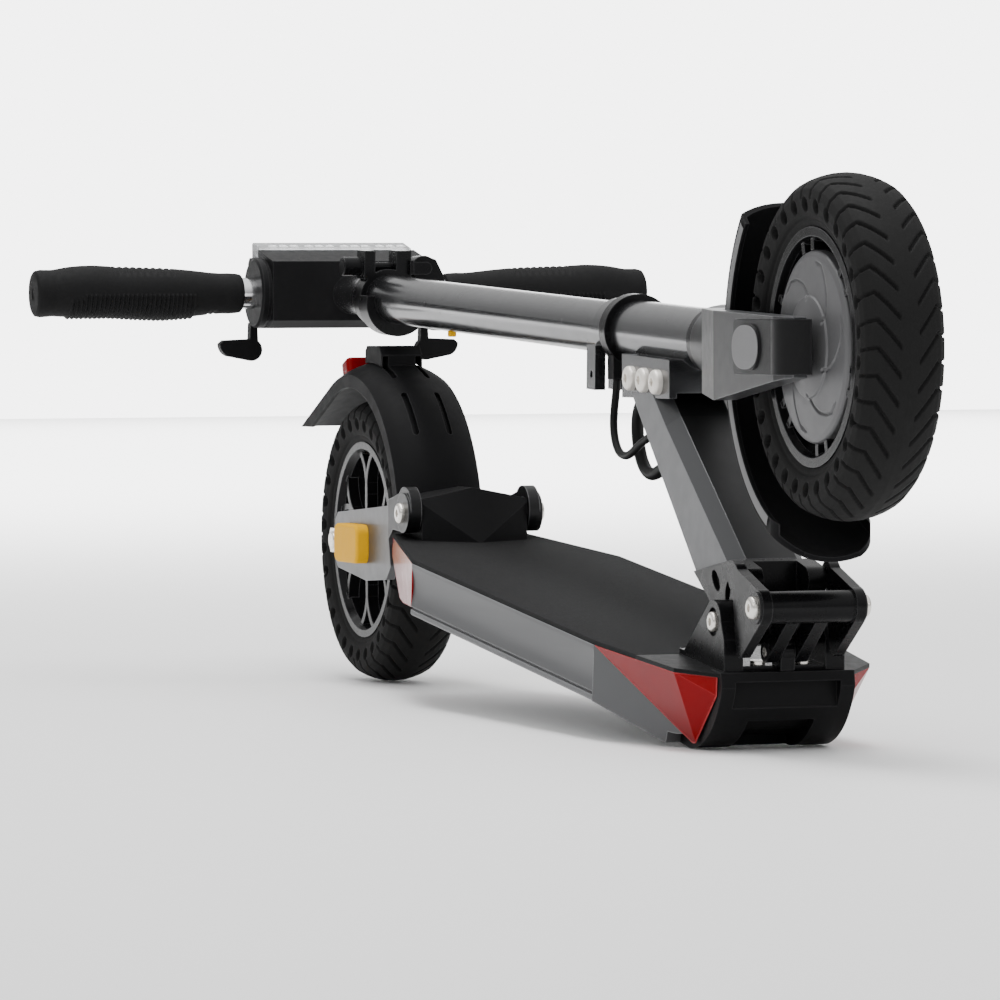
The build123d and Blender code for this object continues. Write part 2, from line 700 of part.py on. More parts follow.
stem_top, stem_end = -20.0, 497.0
with BuildPart() as stem_tube:
    with BuildSketch(steer_section(stem_top)):
        Circle(stem_radius)
    extrude(amount=stem_end - stem_top)
    with BuildSketch(steer_section(stem_top)):
        Circle(steerer_radius)
    extrude(amount=stem_end - stem_top, mode=Mode.SUBTRACT)
    with BuildSketch(Plane(origin=(st(141.5), 0, 230), z_dir=(0, 0, 1))):
        Circle(3)
    extrude(amount=30, mode=Mode.SUBTRACT)
save(stem_tube.part, "stem_tube")

with BuildPart() as stem_base_clamp:
    with BuildSketch(steer_section(484)):
        Circle(19.5)
        with Locations((-19, -24)):
            Rectangle(7, 28)
        with Locations((-5, -26)):
            Rectangle(6, 24)
        Circle(stem_radius, mode=Mode.SUBTRACT)
    extrude(amount=16)
    with BuildSketch(across(492, 220, -30)):
        Circle(2.5)
    extrude(amount=40, mode=Mode.SUBTRACT)
save(stem_base_clamp.part, "stem_base_clamp")


qr_z, qr_station = 292.5, -11.0
with BuildPart() as quick_release_clamp:
    with BuildSketch(steer_section(-20)):
        Circle(21)
        with Locations((-14, 24)):
            Rectangle(8, 20)
        with Locations((11, 24)):
            Rectangle(11, 20)
        Circle(stem_radius, mode=Mode.SUBTRACT)
    extrude(amount=18)
    with BuildSketch(across(qr_station, qr_z, -40)):
        Circle(3)
    extrude(amount=80, mode=Mode.SUBTRACT)
save(quick_release_clamp.part, "quick_release_clamp")

lever_barrel_y, lever_barrel_z = 26.3, 291.0
with BuildPart() as quick_release_bolt:
    with BuildSketch(across(qr_station, qr_z, -20)):
        Circle(3)
    extrude(amount=37)
    with BuildSketch(across(qr_station, qr_z, -18)):
        Circle(6.7)
    extrude(amount=-14)
    fillet(quick_release_bolt.faces().sort_by(Axis.Y)[0].edges(), 1.2)
    pivot_side = Plane(origin=(st(-24), lever_barrel_y, lever_barrel_z), x_dir=(0, 1, 0), z_dir=(1, 0, 0))
    with BuildSketch(pivot_side):
        Circle(3)
    extrude(amount=27)
    for offset in (0, 23.5):
        with BuildSketch(pivot_side.offset(offset)):
            Circle(4.5)
            with Locations((-4.5, 0)):
                Rectangle(9, 9)
        extrude(amount=3.5)
    with BuildSketch(pivot_side):
        with Locations((-10.5, 0.5)):
            Rectangle(2.4, 10)
    extrude(amount=27)
save(quick_release_bolt.part - quick_release_clamp.part, "quick_release_bolt")

with BuildPart() as quick_release_lever:
    barrel = Plane(origin=(st(-20), lever_barrel_y, lever_barrel_z), x_dir=(0, 1, 0), z_dir=(1, 0, 0))
    with BuildSketch(barrel):
        Circle(9)
        with BuildLine():
            Polyline((2, 8.7), (9, 6), (15, -6), (16, -30), (12, -44), (8, -43), (11.5, -30), (10, -8),
                     (4, -8), (2, 8.7))
        make_face()
    extrude(amount=18)
    with BuildSketch(barrel):
        Circle(3 + pivot_clearance)
    extrude(amount=18, mode=Mode.SUBTRACT)
save(quick_release_lever.part, "quick_release_lever")


with BuildPart() as stow_hook:
    with BuildSketch(steer_section(0)):
        with Locations((0, -2.5)):
            Circle(23)
        Circle(stem_radius, mode=Mode.SUBTRACT)
        with Locations((0, 3)):
            Rectangle(60, 60, align=(Align.CENTER, Align.MIN), mode=Mode.SUBTRACT)
    extrude(amount=20)
save(stow_hook.part, "stow_hook")

with BuildPart() as height_button:
    with BuildSketch(Plane(origin=(st(141.5), 0, 242.8), z_dir=(0, 0, 1))):
        Circle(3 - pivot_clearance)
    extrude(amount=7.8)
    fillet(height_button.faces().sort_by(Axis.Z)[0].edges(), 1)
save(height_button.part, "height_button")

# ---- telescoping stem and handlebar ---------------------------------------------------------
with BuildPart() as inner_tube:
    with BuildSketch(steer_section(-99)):
        Circle(inner_tube_radius)
        Circle(inner_tube_radius - 2.5, mode=Mode.SUBTRACT)
    extrude(amount=224)
    with BuildSketch(across(bar_station, bar_height, -20)):
        Circle(bar_radius + 4)
        with Locations((14, 0)):
            Rectangle(8, 24)
    extrude(amount=40)
    with BuildSketch(across(bar_station, bar_height, -30)):
        Circle(bar_radius)
    extrude(amount=60, mode=Mode.SUBTRACT)
save(inner_tube.part, "inner_tube")

with BuildPart() as handlebar_tube:
    with BuildSketch(across(bar_station, bar_height, -bar_half_length)):
        Circle(bar_radius)
        Circle(bar_radius - 2, mode=Mode.SUBTRACT)
    extrude(amount=2 * bar_half_length)
save(handlebar_tube.part, "handlebar_tube")

housing_half = 59.0
collar_radius = 25.0
split_station = bar_station
housing_outline = [(-95, 249), (-89.5, 254.5), (-89.5, 297), (-127.5, 305.5), (-127.5, 300), (-150, 300),
                   (-154, 296), (-154, 261), (-143, 249)]
housing_inside = [(-97, 252), (-92.5, 256.5), (-92.5, 294), (-129, 297), (-148, 297), (-151, 294),
                  (-151, 262.5), (-142, 252)]
for name, keep_front in (("control_housing_front", True), ("control_housing_back", False)):
    with BuildPart() as housing:
        with BuildSketch(side(housing_half)):
            Polygon(*outline(housing_outline), align=None)
        extrude(amount=2 * housing_half)
        with BuildSketch(side(housing_half - 3)):
            Polygon(*outline(housing_inside), align=None)
        extrude(amount=2 * housing_half - 6, mode=Mode.SUBTRACT)
        with BuildSketch(across(bar_station, bar_height, -80)):
            Circle(bar_radius)
        extrude(amount=160, mode=Mode.SUBTRACT)
        with BuildSketch(steer_section(-100)):
            Circle(inner_tube_radius)
        extrude(amount=30, mode=Mode.SUBTRACT)
        if keep_front:
            split(bisect_by=Plane(origin=(st(split_station), 0, 0), z_dir=(1, 0, 0)), keep=Keep.TOP)
            for hand in (1, -1):
                with BuildSketch(across(bar_station, bar_height, hand * housing_half)):
                    Circle(collar_radius - 1)
                    Circle(bar_radius, mode=Mode.SUBTRACT)
                extrude(amount=hand * 2.3)
        else:
            split(bisect_by=Plane(origin=(st(split_station), 0, 0), z_dir=(1, 0, 0)), keep=Keep.BOTTOM)
            with BuildSketch(Plane(origin=(st(-154), 0, 280), x_dir=(0, 1, 0), z_dir=(-1, 0, 0))):
                Rectangle(56, 24)
            extrude(amount=-3, mode=Mode.SUBTRACT)
            with BuildSketch(Plane(origin=(st(-154), 0, 280), x_dir=(0, 1, 0), z_dir=(-1, 0, 0))):
                with Locations((-42, 0)):
                    Circle(4.6)
            extrude(amount=-3, mode=Mode.SUBTRACT)
    save(housing.part, name)


with BuildPart() as display_window:
    with BuildSketch(Plane(origin=(st(-151), 0, 280), x_dir=(0, 1, 0), z_dir=(-1, 0, 0))):
        Rectangle(56, 24)
    extrude(amount=3.8)
    chamfer(display_window.faces().sort_by(Axis.X)[0].edges(), 0.7)
save(display_window.part, "display_window")

with BuildPart() as power_button:
    with BuildSketch(Plane(origin=(st(-151.5), -42, 280), x_dir=(0, 1, 0), z_dir=(-1, 0, 0))):
        Circle(4.6 - pivot_clearance)
    extrude(amount=4.3)
    fillet(power_button.faces().sort_by(Axis.X)[0].edges(), 0.8)
save(power_button.part, "power_button")

with BuildPart() as headlight_lens:
    with BuildSketch(side(57)):
        Polygon(*outline([(-150, 300), (-150, 310), (-147, 311), (-128, 306.5), (-127.7, 300)]), align=None)
    extrude(amount=114)
    with BuildSketch(side(54)):
        Polygon(*outline([(-146, 300), (-146, 303.5), (-132, 303.5), (-132, 300)]), align=None)
    extrude(amount=108, mode=Mode.SUBTRACT)
save(headlight_lens.part, "headlight_lens")



for hand, name in ((1, "brake_trigger"), (-1, "throttle_trigger")):
    with BuildPart() as trigger:
        with BuildSketch(across(bar_station, bar_height, hand * 61.6)):
            Circle(collar_radius)
        extrude(amount=hand * 5.4)
        chamfer(trigger.faces().sort_by(Axis.Y)[-1 if hand > 0 else 0].edges(), 1.5)
        with BuildSketch(Plane(origin=(st(-128), 0, 0), x_dir=(0, 1, 0), z_dir=(1, 0, 0))):
            Polygon((hand * 62, 253), (hand * 67, 253), (hand * 67.5, 240), (hand * 61.5, 240), align=None)
            with BuildLine():
                Polyline((hand * 65, 241.5), (hand * 87, 240.5), (hand * 90, 238))
                ThreePointArc((hand * 90, 238), (hand * 88, 232), (hand * 84, 229))
                Line((hand * 84, 229), (hand * 66, 225.5))
                ThreePointArc((hand * 66, 225.5), (hand * 58.5, 233), (hand * 65, 241.5))
            make_face()
        extrude(amount=8)
        with BuildSketch(across(bar_station, bar_height, hand * 61)):
            Circle(bar_radius + pivot_clearance)
        extrude(amount=hand * 7, mode=Mode.SUBTRACT)
    save(trigger.part, name)

grip_start, grip_end = 76.5, 230.0
with BuildPart() as grips:
    for hand in (1, -1):
        with BuildSketch(Plane(origin=(st(bar_station), 0, bar_height), x_dir=(1, 0, 0), z_dir=(0, 0, 1))):
            with BuildLine():
                Polyline((0, hand * grip_end), (12, hand * grip_end), (16.5, hand * (grip_end - 4)))
                Spline((16.5, hand * (grip_end - 4)), (17.2, hand * 205), (19.3, hand * 160),
                       (17.0, hand * 115), (14.8, hand * (grip_start + 3)))
                Polyline((14.8, hand * (grip_start + 3)), (13.8, hand * grip_start), (0, hand * grip_start),
                         (0, hand * grip_end))
            make_face()
        revolve(axis=Axis((st(bar_station), 0, bar_height), (0, 1, 0)))
    with BuildSketch(across(bar_station, bar_height, -bar_half_length)):
        Circle(bar_radius)
    extrude(amount=2 * bar_half_length, mode=Mode.SUBTRACT)
save(grips.part, "grips")


# ---- wheels ---------------------------------------------------------------------------------
def tyre(station, height):
    """Solid honeycomb tyre with a rounded tread."""
    with BuildPart() as rubber:
        with BuildSketch(radial_plane(station, height, 0)):
            with BuildLine():
                Polyline((rim_radius, -20), (76, -23.5), (86, -tyre_half_width))
                ThreePointArc((86, -tyre_half_width), (94.5, -20), (98, -12))
                ThreePointArc((98, -12), (tyre_radius, 0), (98, 12))
                ThreePointArc((98, 12), (94.5, 20), (86, tyre_half_width))
                Polyline((86, tyre_half_width), (76, 23.5), (rim_radius, 20), (rim_radius, -20))
            make_face()
        revolve(axis=Axis((st(station), 0, height), (0, 1, 0)))
    return rubber.part


def bearing(station, height, y, width):
    """Plain ring that stands for a ball bearing turning on the axle."""
    with BuildPart() as ring:
        with BuildSketch(across(station, height, y)):
            Circle(14)
            Circle(axle_radius + pivot_clearance, mode=Mode.SUBTRACT)
        extrude(amount=width)
    return ring.part


save(tyre(wheel_station, wheel_height), "front_tyre")
save(tyre(0, tyre_radius), "rear_tyre")

motor_radius = 55.5
with BuildPart() as front_rim:
    with BuildSketch(radial_plane(wheel_station, wheel_height, 0)):
        Polygon((rim_radius, -21), (rim_radius, 21), (63.5, 21), (61, 17), (61, -17), (63.5, -21), align=None)
    revolve(axis=Axis((st(wheel_station), 0, wheel_height), (0, 1, 0)))
    with BuildSketch(across(wheel_station, wheel_height, -14)):
        Circle(motor_radius)
        Circle(motor_radius - 6, mode=Mode.SUBTRACT)
    extrude(amount=28)
    for y in (-19, 7):
        with BuildSketch(across(wheel_station, wheel_height, y)):
            for pair in range(6):
                for turn in (-7, 7):
                    with Locations(Pos((motor_radius + 3.5) * cos(radians(60 * pair + turn + 20)),
                                       (motor_radius + 3.5) * sin(radians(60 * pair + turn + 20)))
                                   * Rot(0, 0, 60 * pair + turn + 20)):
                        Rectangle(15, 4)
            Circle(motor_radius, mode=Mode.SUBTRACT)
        extrude(amount=12)
save(front_rim.part, "front_rim")

with BuildPart() as motor_covers:
    for hand in (1, -1):
        with BuildSketch(Plane(origin=(st(wheel_station), 0, wheel_height), x_dir=(1, 0, 0),
                               z_dir=(0, 0, 1))):
            with BuildLine():
                Polyline((0, hand * 14), (motor_radius, hand * 14), (motor_radius, hand * 18.5),
                         (52, hand * 20.5), (34, hand * 22))
                ThreePointArc((34, hand * 22), (25, hand * 24.5), (14, hand * 28))
                Polyline((14, hand * 28), (0, hand * 28), (0, hand * 14))
            make_face()
        revolve(axis=Axis((st(wheel_station), 0, wheel_height), (0, 1, 0)))
        with BuildSketch(across(wheel_station, wheel_height, hand * 13)):
            Circle(14)
        extrude(amount=hand * 10, mode=Mode.SUBTRACT)
        with BuildSketch(across(wheel_station, wheel_height, hand * 13)):
            Circle(axle_radius + 1)
        extrude(amount=hand * 40, mode=Mode.SUBTRACT)
save(motor_covers.part, "motor_covers")
rings = [bearing(wheel_station, wheel_height, 14, 9), bearing(wheel_station, wheel_height, -23, 9)]
save(Compound(children=rings), "front_wheel_bearings")

with BuildPart() as motor_stator:
    with BuildSketch(across(wheel_station, wheel_height, -12)):
        Circle(46)
        Circle(axle_radius, mode=Mode.SUBTRACT)
    extrude(amount=24)
save(motor_stator.part, "motor_stator")

with BuildPart() as rear_rim:
    with BuildSketch(radial_plane(0, tyre_radius, 0)):
        Polygon((rim_radius, -21), (rim_radius, 21), (64, 21), (61, 16), (61, -16), (64, -21), align=None)
    revolve(axis=Axis((rear_x, 0, tyre_radius), (0, 1, 0)))
    with BuildSketch(across(0, tyre_radius, -23)):
        Circle(19)
    extrude(amount=46)
    for y in (-18, 10):
        with BuildSketch(across(0, tyre_radius, y)):
            for spoke in range(6):
                root = 60 * spoke
                for bend in (-1, 1):
                    with BuildLine():
                        fork_point = Vector(0, 30).rotate(Axis.Z, root)
                        rim_point = Vector(0, 62.5).rotate(Axis.Z, root + 13 * bend)
                        bow = Vector(0, 46).rotate(Axis.Z, root + 2 * bend)
                        arc = ThreePointArc(fork_point, bow, rim_point)
                    SlotArc(arc.edge(), 4.2)
                with Locations(Rot(0, 0, root)):
                    with Locations((0, 24)):
                        Rectangle(5, 16)
        extrude(amount=8)
    with BuildSketch(across(0, tyre_radius, -30)):
        Circle(10)
    extrude(amount=60, mode=Mode.SUBTRACT)
    for y in (-23, 15):
        with BuildSketch(across(0, tyre_radius, y)):
            Circle(14)
        extrude(amount=8, mode=Mode.SUBTRACT)
save(rear_rim.part, "rear_rim")
rings = [bearing(0, tyre_radius, 15, 8), bearing(0, tyre_radius, -23, 8)]
save(Compound(children=rings), "rear_wheel_bearings")

# ---- rear swing arm, fender and axle --------------------------------------------------------
plate_inner, plate_outer = 31.0, 37.0
arm_tube_radius = 10.0
with BuildPart() as rear_arm:
    with BuildSketch(level(145)):
        for hand in (1, -1):
            Polygon(*[(st(x), hand * y) for x, y in (
                (-14, plate_inner), (120, plate_inner), (144, 38.2), (196, 38.2), (196, 46), (140, 46),
                (116, plate_outer), (-14, plate_outer))], align=None)
    extrude(amount=-90)
    with BuildSketch(side(60)):
        with BuildLine():
            Polyline(*outline([(-12, 86), (-12, 114), (-6, 119.5), (110, 127), (150, 134)]))
            Line(*outline([(150, 134), (165, 137)]))
            ThreePointArc(*outline([(165, 137), (191.5, 124), (178, 110.6)]))
            Polyline(*outline([(178, 110.6), (150, 112), (134, 101), (106, 76), (60, 73.5), (-6, 80.5),
                               (-12, 86)]))
        make_face()
    extrude(amount=120, mode=Mode.INTERSECT)
    with BuildSketch(across(arm_station, arm_height, -48)):
        Circle(13.5)
    extrude(amount=9.8)
    with BuildSketch(across(arm_station, arm_height, 38.2)):
        Circle(13.5)
    extrude(amount=9.8)
    with BuildSketch(across(arm_station, arm_height, -40)):
        Circle(arm_tube_radius - pivot_clearance)
    extrude(amount=80)
    with BuildSketch(across(arm_station, arm_height, -60)):
        Circle(5)
    extrude(amount=120, mode=Mode.SUBTRACT)
    with BuildSketch(across(0, tyre_radius, -60)):
        Circle(axle_radius)
    extrude(amount=120, mode=Mode.SUBTRACT)
save(rear_arm.part, "rear_arm")

with BuildPart() as arm_pivot_bolt:
    with BuildSketch(across(arm_station, arm_height, -48)):
        Circle(5)
    extrude(amount=96)
    for hand in (1, -1):
        with BuildSketch(across(arm_station, arm_height, 48 * hand)):
            Circle(7)
        extrude(amount=4 * hand)
    fillet(arm_pivot_bolt.faces().sort_by(Axis.Y)[-1].edges(), 2.2)
    fillet(arm_pivot_bolt.faces().sort_by(Axis.Y)[0].edges(), 2.2)
    for hand in (1, -1):
        with BuildSketch(across(arm_station, arm_height, 52 * hand)):
            RegularPolygon(3, 6)
        extrude(amount=-2.2 * hand, mode=Mode.SUBTRACT)
save(arm_pivot_bolt.part, "arm_pivot_bolt")

save(axle(0, tyre_radius, 44.5, plate_outer, 6), "rear_axle")

with BuildPart() as side_reflectors:
    for hand in (1, -1):
        with BuildSketch(across(39, 99, hand * plate_outer)):
            RectangleRounded(54, 27, 7)
        extrude(amount=9 * hand)
    fillet(side_reflectors.faces().sort_by(Axis.Y)[-1].edges(), 2)
    fillet(side_reflectors.faces().sort_by(Axis.Y)[0].edges(), 2)
save(side_reflectors.part, "side_reflectors")

tail_angle = 112.0
with BuildPart() as fender_catch:
    with BuildSketch(side(15)):
        Polygon(*outline([(-10, 216), (-10, 233), (-6, 236.5), (22, 236.5), (28, 230), (28, 216)]),
                align=None)
    extrude(amount=30)
    with BuildSketch(across(0, tyre_radius, -30)):
        Circle(fender_crown - 1.5)
    extrude(amount=60, mode=Mode.SUBTRACT)

with BuildPart() as rear_fender:
    with BuildSketch(radial_plane(0, tyre_radius, tail_angle)):
        add(fender_section.sketch)
    revolve(axis=Axis((rear_x, 0, tyre_radius), (0, 1, 0)), revolution_arc=106)
    with BuildSketch(radial_plane(0, tyre_radius, tail_angle)):
        add(fender_section.sketch)
    extrude(amount=110)
    with BuildSketch(level(100)):
        with Locations((st(-120), 0)):
            Rectangle(160, 80)
    extrude(amount=78, mode=Mode.SUBTRACT)

with BuildPart() as fender_slots:
    for angle in (76, 47):
        outward = Vector(cos(radians(angle)), 0, sin(radians(angle)))
        with BuildSketch(Plane(origin=Vector(rear_x, 0, tyre_radius) + outward * 112, x_dir=(0, 1, 0),
                               z_dir=outward)):
            for y in (-12, 12):
                with Locations((y, 0)):
                    SlotOverall(42, 4, rotation=90)
        extrude(amount=20)
fender_shell = rear_fender.part + fender_catch.part - fender_slots.part
save(fender_shell, "rear_fender")

tail_out = (cos(radians(110)), 0, sin(radians(110)))
with BuildPart() as tail_light:
    with BuildSketch(Plane(origin=(rear_x, 0, tyre_radius), x_dir=(0, 1, 0), z_dir=tail_out)):
        RectangleRounded(40, 17, 4)
    extrude(amount=134)
    with BuildSketch(across(0, tyre_radius, -30)):
        Circle(fender_crown - 2.5)
    extrude(amount=60, mode=Mode.SUBTRACT)
    fillet(tail_light.faces().sort_by(Axis((0, 0, 0), tail_out))[-1].edges(), 2)
save(tail_light.part - fender_shell, "tail_light")

# ---- pivot housing on the deck --------------------------------------------------------------
with BuildPart() as pivot_housing:
    with BuildSketch(Plane(origin=(st(140), 0, 0), x_dir=(0, 1, 0), z_dir=(1, 0, 0))):
        Polygon((-37.5, 90), (37.5, 90), (37.5, 133.5), (0, 141), (-37.5, 133.5), align=None)
    extrude(amount=80)
    with BuildSketch(side(60)):
        Polygon(*outline([(152, 95), (152, 127), (143, 127), (143, 137), (154, 141), (184, 141), (206, 95)]),
                align=None)
    extrude(amount=120, mode=Mode.INTERSECT)
    with BuildSketch(level(80)):
        Polygon((st(130), -40), (st(130), 40), (st(188), 40), (st(202), 0), (st(188), -40), align=None)
    extrude(amount=80, mode=Mode.INTERSECT)
    with BuildSketch(deck_side):
        Rectangle(600, 60, align=(Align.MIN, Align.MAX))
    extrude(amount=80, both=True, mode=Mode.SUBTRACT)
    with BuildSketch(across(arm_station, arm_height, -60)):
        Circle(arm_tube_radius)
    extrude(amount=120, mode=Mode.SUBTRACT)
save(pivot_housing.part, "pivot_housing")


# ---- kickstand under the left edge ----------------------------------------------------------
stand_s, stand_h = 300.0, -46.0
with BuildPart() as stand_bracket:
    with BuildSketch(deck_top.offset(-deck_thickness)):
        with Locations((stand_s, 67.5)):
            Rectangle(34, 9)
    extrude(amount=-3)
    with BuildSketch(deck_side.offset(-66.3)):
        with Locations((stand_s, stand_h)):
            Circle(8)
        with Locations((stand_s, stand_h + 5)):
            Rectangle(16, 8)
    extrude(amount=-5.7)
    with BuildSketch(deck_side.offset(-60.8)):
        with Locations((stand_s, stand_h)):
            Circle(4)
    extrude(amount=-11.2)
save(stand_bracket.part, "stand_bracket")

with BuildPart() as kickstand:
    with BuildSketch(deck_side.offset(-61.1)):
        with Locations((stand_s, stand_h)):
            Circle(5.6)
        Polygon((stand_s, stand_h + 5), (stand_s + 118, stand_h + 3.5), (stand_s + 118, stand_h - 3.5),
                (stand_s, stand_h - 5), align=None)
        with Locations((stand_s + 118, stand_h)):
            Circle(5.5)
        with Locations((stand_s, stand_h)):
            Circle(4 + pivot_clearance, mode=Mode.SUBTRACT)
    extrude(amount=-5)
save(kickstand.part, "kickstand")
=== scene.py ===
import math

import bmesh
import bpy
import numpy as np
from mathutils import Matrix, Vector


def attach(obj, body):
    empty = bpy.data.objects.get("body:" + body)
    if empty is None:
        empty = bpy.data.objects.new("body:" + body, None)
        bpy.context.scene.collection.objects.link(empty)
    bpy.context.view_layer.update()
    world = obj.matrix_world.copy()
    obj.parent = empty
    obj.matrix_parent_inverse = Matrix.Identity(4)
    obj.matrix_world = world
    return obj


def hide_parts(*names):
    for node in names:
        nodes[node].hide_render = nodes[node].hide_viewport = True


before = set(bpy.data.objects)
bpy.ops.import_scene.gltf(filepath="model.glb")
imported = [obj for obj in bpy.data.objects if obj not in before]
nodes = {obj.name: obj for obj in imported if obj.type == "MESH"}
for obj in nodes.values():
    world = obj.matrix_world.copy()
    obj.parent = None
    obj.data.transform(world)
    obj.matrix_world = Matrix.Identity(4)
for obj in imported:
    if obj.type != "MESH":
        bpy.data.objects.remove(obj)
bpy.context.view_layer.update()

# ---- shared values ---------------------------------------------------------------------------
PER_METRE = 1000  # lengths below are in millimetres where a comment or docstring says so
FULL_TURN = 2 * math.pi
SIDES = ((1, "left"), (-1, "right"))  # sign of y and name of each side
REAR_X = -0.4051  # world X of the rear axle, in metres


def at(station, y, z):
    """Point from a distance ahead of the rear axle, a distance to the left and a height, in millimetres."""
    return Vector((REAR_X + station / PER_METRE, y / PER_METRE, z / PER_METRE))


def add(name, data):
    """New object for a data block, linked into the scene."""
    obj = bpy.data.objects.new(name, data)
    bpy.context.scene.collection.objects.link(obj)
    return obj


FRONT_HUB = at(866, 0, 238)
REAR_HUB = at(0, 0, 100)
BAR = at(-114, 0, 274.2)

# ---- camera ----------------------------------------------------------------------------------
VIEW_DIRECTION = (-0.947717, 0.317765, -0.029289)
CAMERA_ROLL = math.radians(-0.2647)

camera_data = bpy.data.cameras.new("camera")
camera = add("camera", camera_data)
bpy.context.scene.camera = camera
camera_data.sensor_width = 36
camera_data.lens = 221.886
camera_data.clip_end = 60
look = Vector(VIEW_DIRECTION).normalized()
level_right = look.cross(Vector((0, 0, 1))).normalized()
level_up = level_right.cross(look)
right = level_right * math.cos(CAMERA_ROLL) + level_up * math.sin(CAMERA_ROLL)
up = level_up * math.cos(CAMERA_ROLL) - level_right * math.sin(CAMERA_ROLL)
turn = Matrix((right, up, -look)).transposed()
camera.matrix_world = Matrix.Translation(at(4149.11, -1309.68, 254.64)) @ turn.to_4x4()

# ---- materials -------------------------------------------------------------------------------
BEVEL_SAMPLES = 4
EDGE_TINT_RADIUS = 0.0012  # bevel that finds the edges tinted as wear and painted highlight, in metres
EDGE_TINT_START, EDGE_TINT_FULL = 0.995, 0.90  # cosine between the bevelled and the true normal
GRAIN_DEPTH = 0.0004  # height of the bump grain, in metres
BLOT_RATIO = 3.7  # how much finer the uneven gloss is than the uneven colour


def remap(tree, value, low=0.0, high=1.0, to_low=0.0, to_high=1.0):
    """Socket that carries a value from the range low to high over into to_low to to_high."""
    node = tree.nodes.new("ShaderNodeMapRange")
    node.inputs["From Min"].default_value = low
    node.inputs["From Max"].default_value = high
    node.inputs["To Min"].default_value = to_low
    node.inputs["To Max"].default_value = to_high
    tree.links.new(value, node.inputs["Value"])
    return node.outputs["Result"]


def tint(tree, below, colour, factor):
    """Socket that fades from the colour below it to a fixed colour as the factor rises."""
    node = tree.nodes.new("ShaderNodeMix")
    node.data_type = "RGBA"
    node.inputs["B"].default_value = (*colour, 1)
    tree.links.new(below, node.inputs["A"])
    tree.links.new(factor, node.inputs["Factor"])
    return node.outputs["Result"]


def noise(tree, vector, scale, detail):
    """Socket with noise of a given scale and detail."""
    node = tree.nodes.new("ShaderNodeTexNoise")
    node.inputs["Scale"].default_value = scale
    node.inputs["Detail"].default_value = detail
    tree.links.new(vector, node.inputs["Vector"])
    return node.outputs["Fac"]


def bevel_normal(tree, radius):
    """Socket with the normal of edges rounded by a radius in metres."""
    node = tree.nodes.new("ShaderNodeBevel")
    node.samples = BEVEL_SAMPLES
    node.inputs["Radius"].default_value = radius
    return node.outputs["Normal"]


def material(name, colour, rough, metallic=0.0, vary=0.12, vary_scale=30.0, rough_vary=0.08, bump=0.0,
             bump_scale=900.0, coat=0.0, coat_rough=0.1, specular=0.5, edge=0.0, edge_colour=None, ior=1.45,
             stretch=(1, 1, 1), soften=0.0006, fine=0.0, fine_scale=4000.0, transmission=0.0, glow=0.0,
             zones=()):
    """Procedural surface: uneven colour and roughness, grain in the bump, and edges tinted as wear and painted
    highlight.

    Each zone is (colour, source, axis, low, high): the colour fades in as that axis of the object's own
    coordinates or normal runs from low to high. The word size after the source drops the sign.
    """
    m = bpy.data.materials.new(name)
    m.use_nodes = True
    tree = m.node_tree
    n, link = tree.nodes, tree.links.new
    shader = n["Principled BSDF"]
    shader.inputs["Metallic"].default_value = metallic
    shader.inputs["Coat Weight"].default_value = coat
    shader.inputs["Coat Roughness"].default_value = coat_rough
    shader.inputs["Specular IOR Level"].default_value = specular
    shader.inputs["IOR"].default_value = ior
    shader.inputs["Transmission Weight"].default_value = transmission
    if glow:
        shader.inputs["Emission Color"].default_value = (*colour, 1)
        shader.inputs["Emission Strength"].default_value = glow

    place = n.new("ShaderNodeTexCoord")
    mapping = n.new("ShaderNodeMapping")
    mapping.inputs["Scale"].default_value = stretch
    link(place.outputs["Object"], mapping.inputs["Vector"])
    vector = mapping.outputs["Vector"]

    clouds = n.new("ShaderNodeMix")
    clouds.data_type = "RGBA"
    dark = tuple(c * (1 - vary) for c in colour)
    light = tuple(min(1.0, c * (1 + vary)) for c in colour)
    clouds.inputs["A"].default_value = (*dark, 1)
    clouds.inputs["B"].default_value = (*light, 1)
    link(noise(tree, vector, vary_scale, 5), clouds.inputs["Factor"])
    colour_out = clouds.outputs["Result"]
    for zone_colour, source, axis, low, high in zones:
        split = n.new("ShaderNodeSeparateXYZ")
        link(place.outputs[source.split()[0]], split.inputs["Vector"])
        value = split.outputs[axis]
        if "size" in source:
            size = n.new("ShaderNodeMath")
            size.operation = "ABSOLUTE"
            link(value, size.inputs[0])
            value = size.outputs["Value"]
        colour_out = tint(tree, colour_out, zone_colour, remap(tree, value, low, high))
    # Edges tinted towards edge_colour: partly wear, partly painted highlight.
    if edge > 0:
        geometry = n.new("ShaderNodeNewGeometry")
        dot = n.new("ShaderNodeVectorMath")
        dot.operation = "DOT_PRODUCT"
        link(bevel_normal(tree, EDGE_TINT_RADIUS), dot.inputs[0])
        link(geometry.outputs["Normal"], dot.inputs[1])
        edge_wear_and_highlight = remap(tree, dot.outputs["Value"], EDGE_TINT_START, EDGE_TINT_FULL, 0.0, edge)
        colour_out = tint(tree, colour_out, edge_colour, edge_wear_and_highlight)
    link(colour_out, shader.inputs["Base Color"])

    blot = noise(tree, vector, vary_scale * BLOT_RATIO, 3)
    rough_low, rough_high = max(0.02, rough - rough_vary), min(1.0, rough + rough_vary)
    link(remap(tree, blot, 0.0, 1.0, rough_low, rough_high), shader.inputs["Roughness"])

    normal_out = bevel_normal(tree, soften)
    for strength, scale in ((bump, bump_scale), (fine, fine_scale)):
        if strength > 0:
            relief = n.new("ShaderNodeBump")
            relief.inputs["Strength"].default_value = strength
            relief.inputs["Distance"].default_value = GRAIN_DEPTH
            link(noise(tree, vector, scale, 2), relief.inputs["Height"])
            link(normal_out, relief.inputs["Normal"])
            normal_out = relief.outputs["Normal"]
    link(normal_out, shader.inputs["Normal"])
    return m
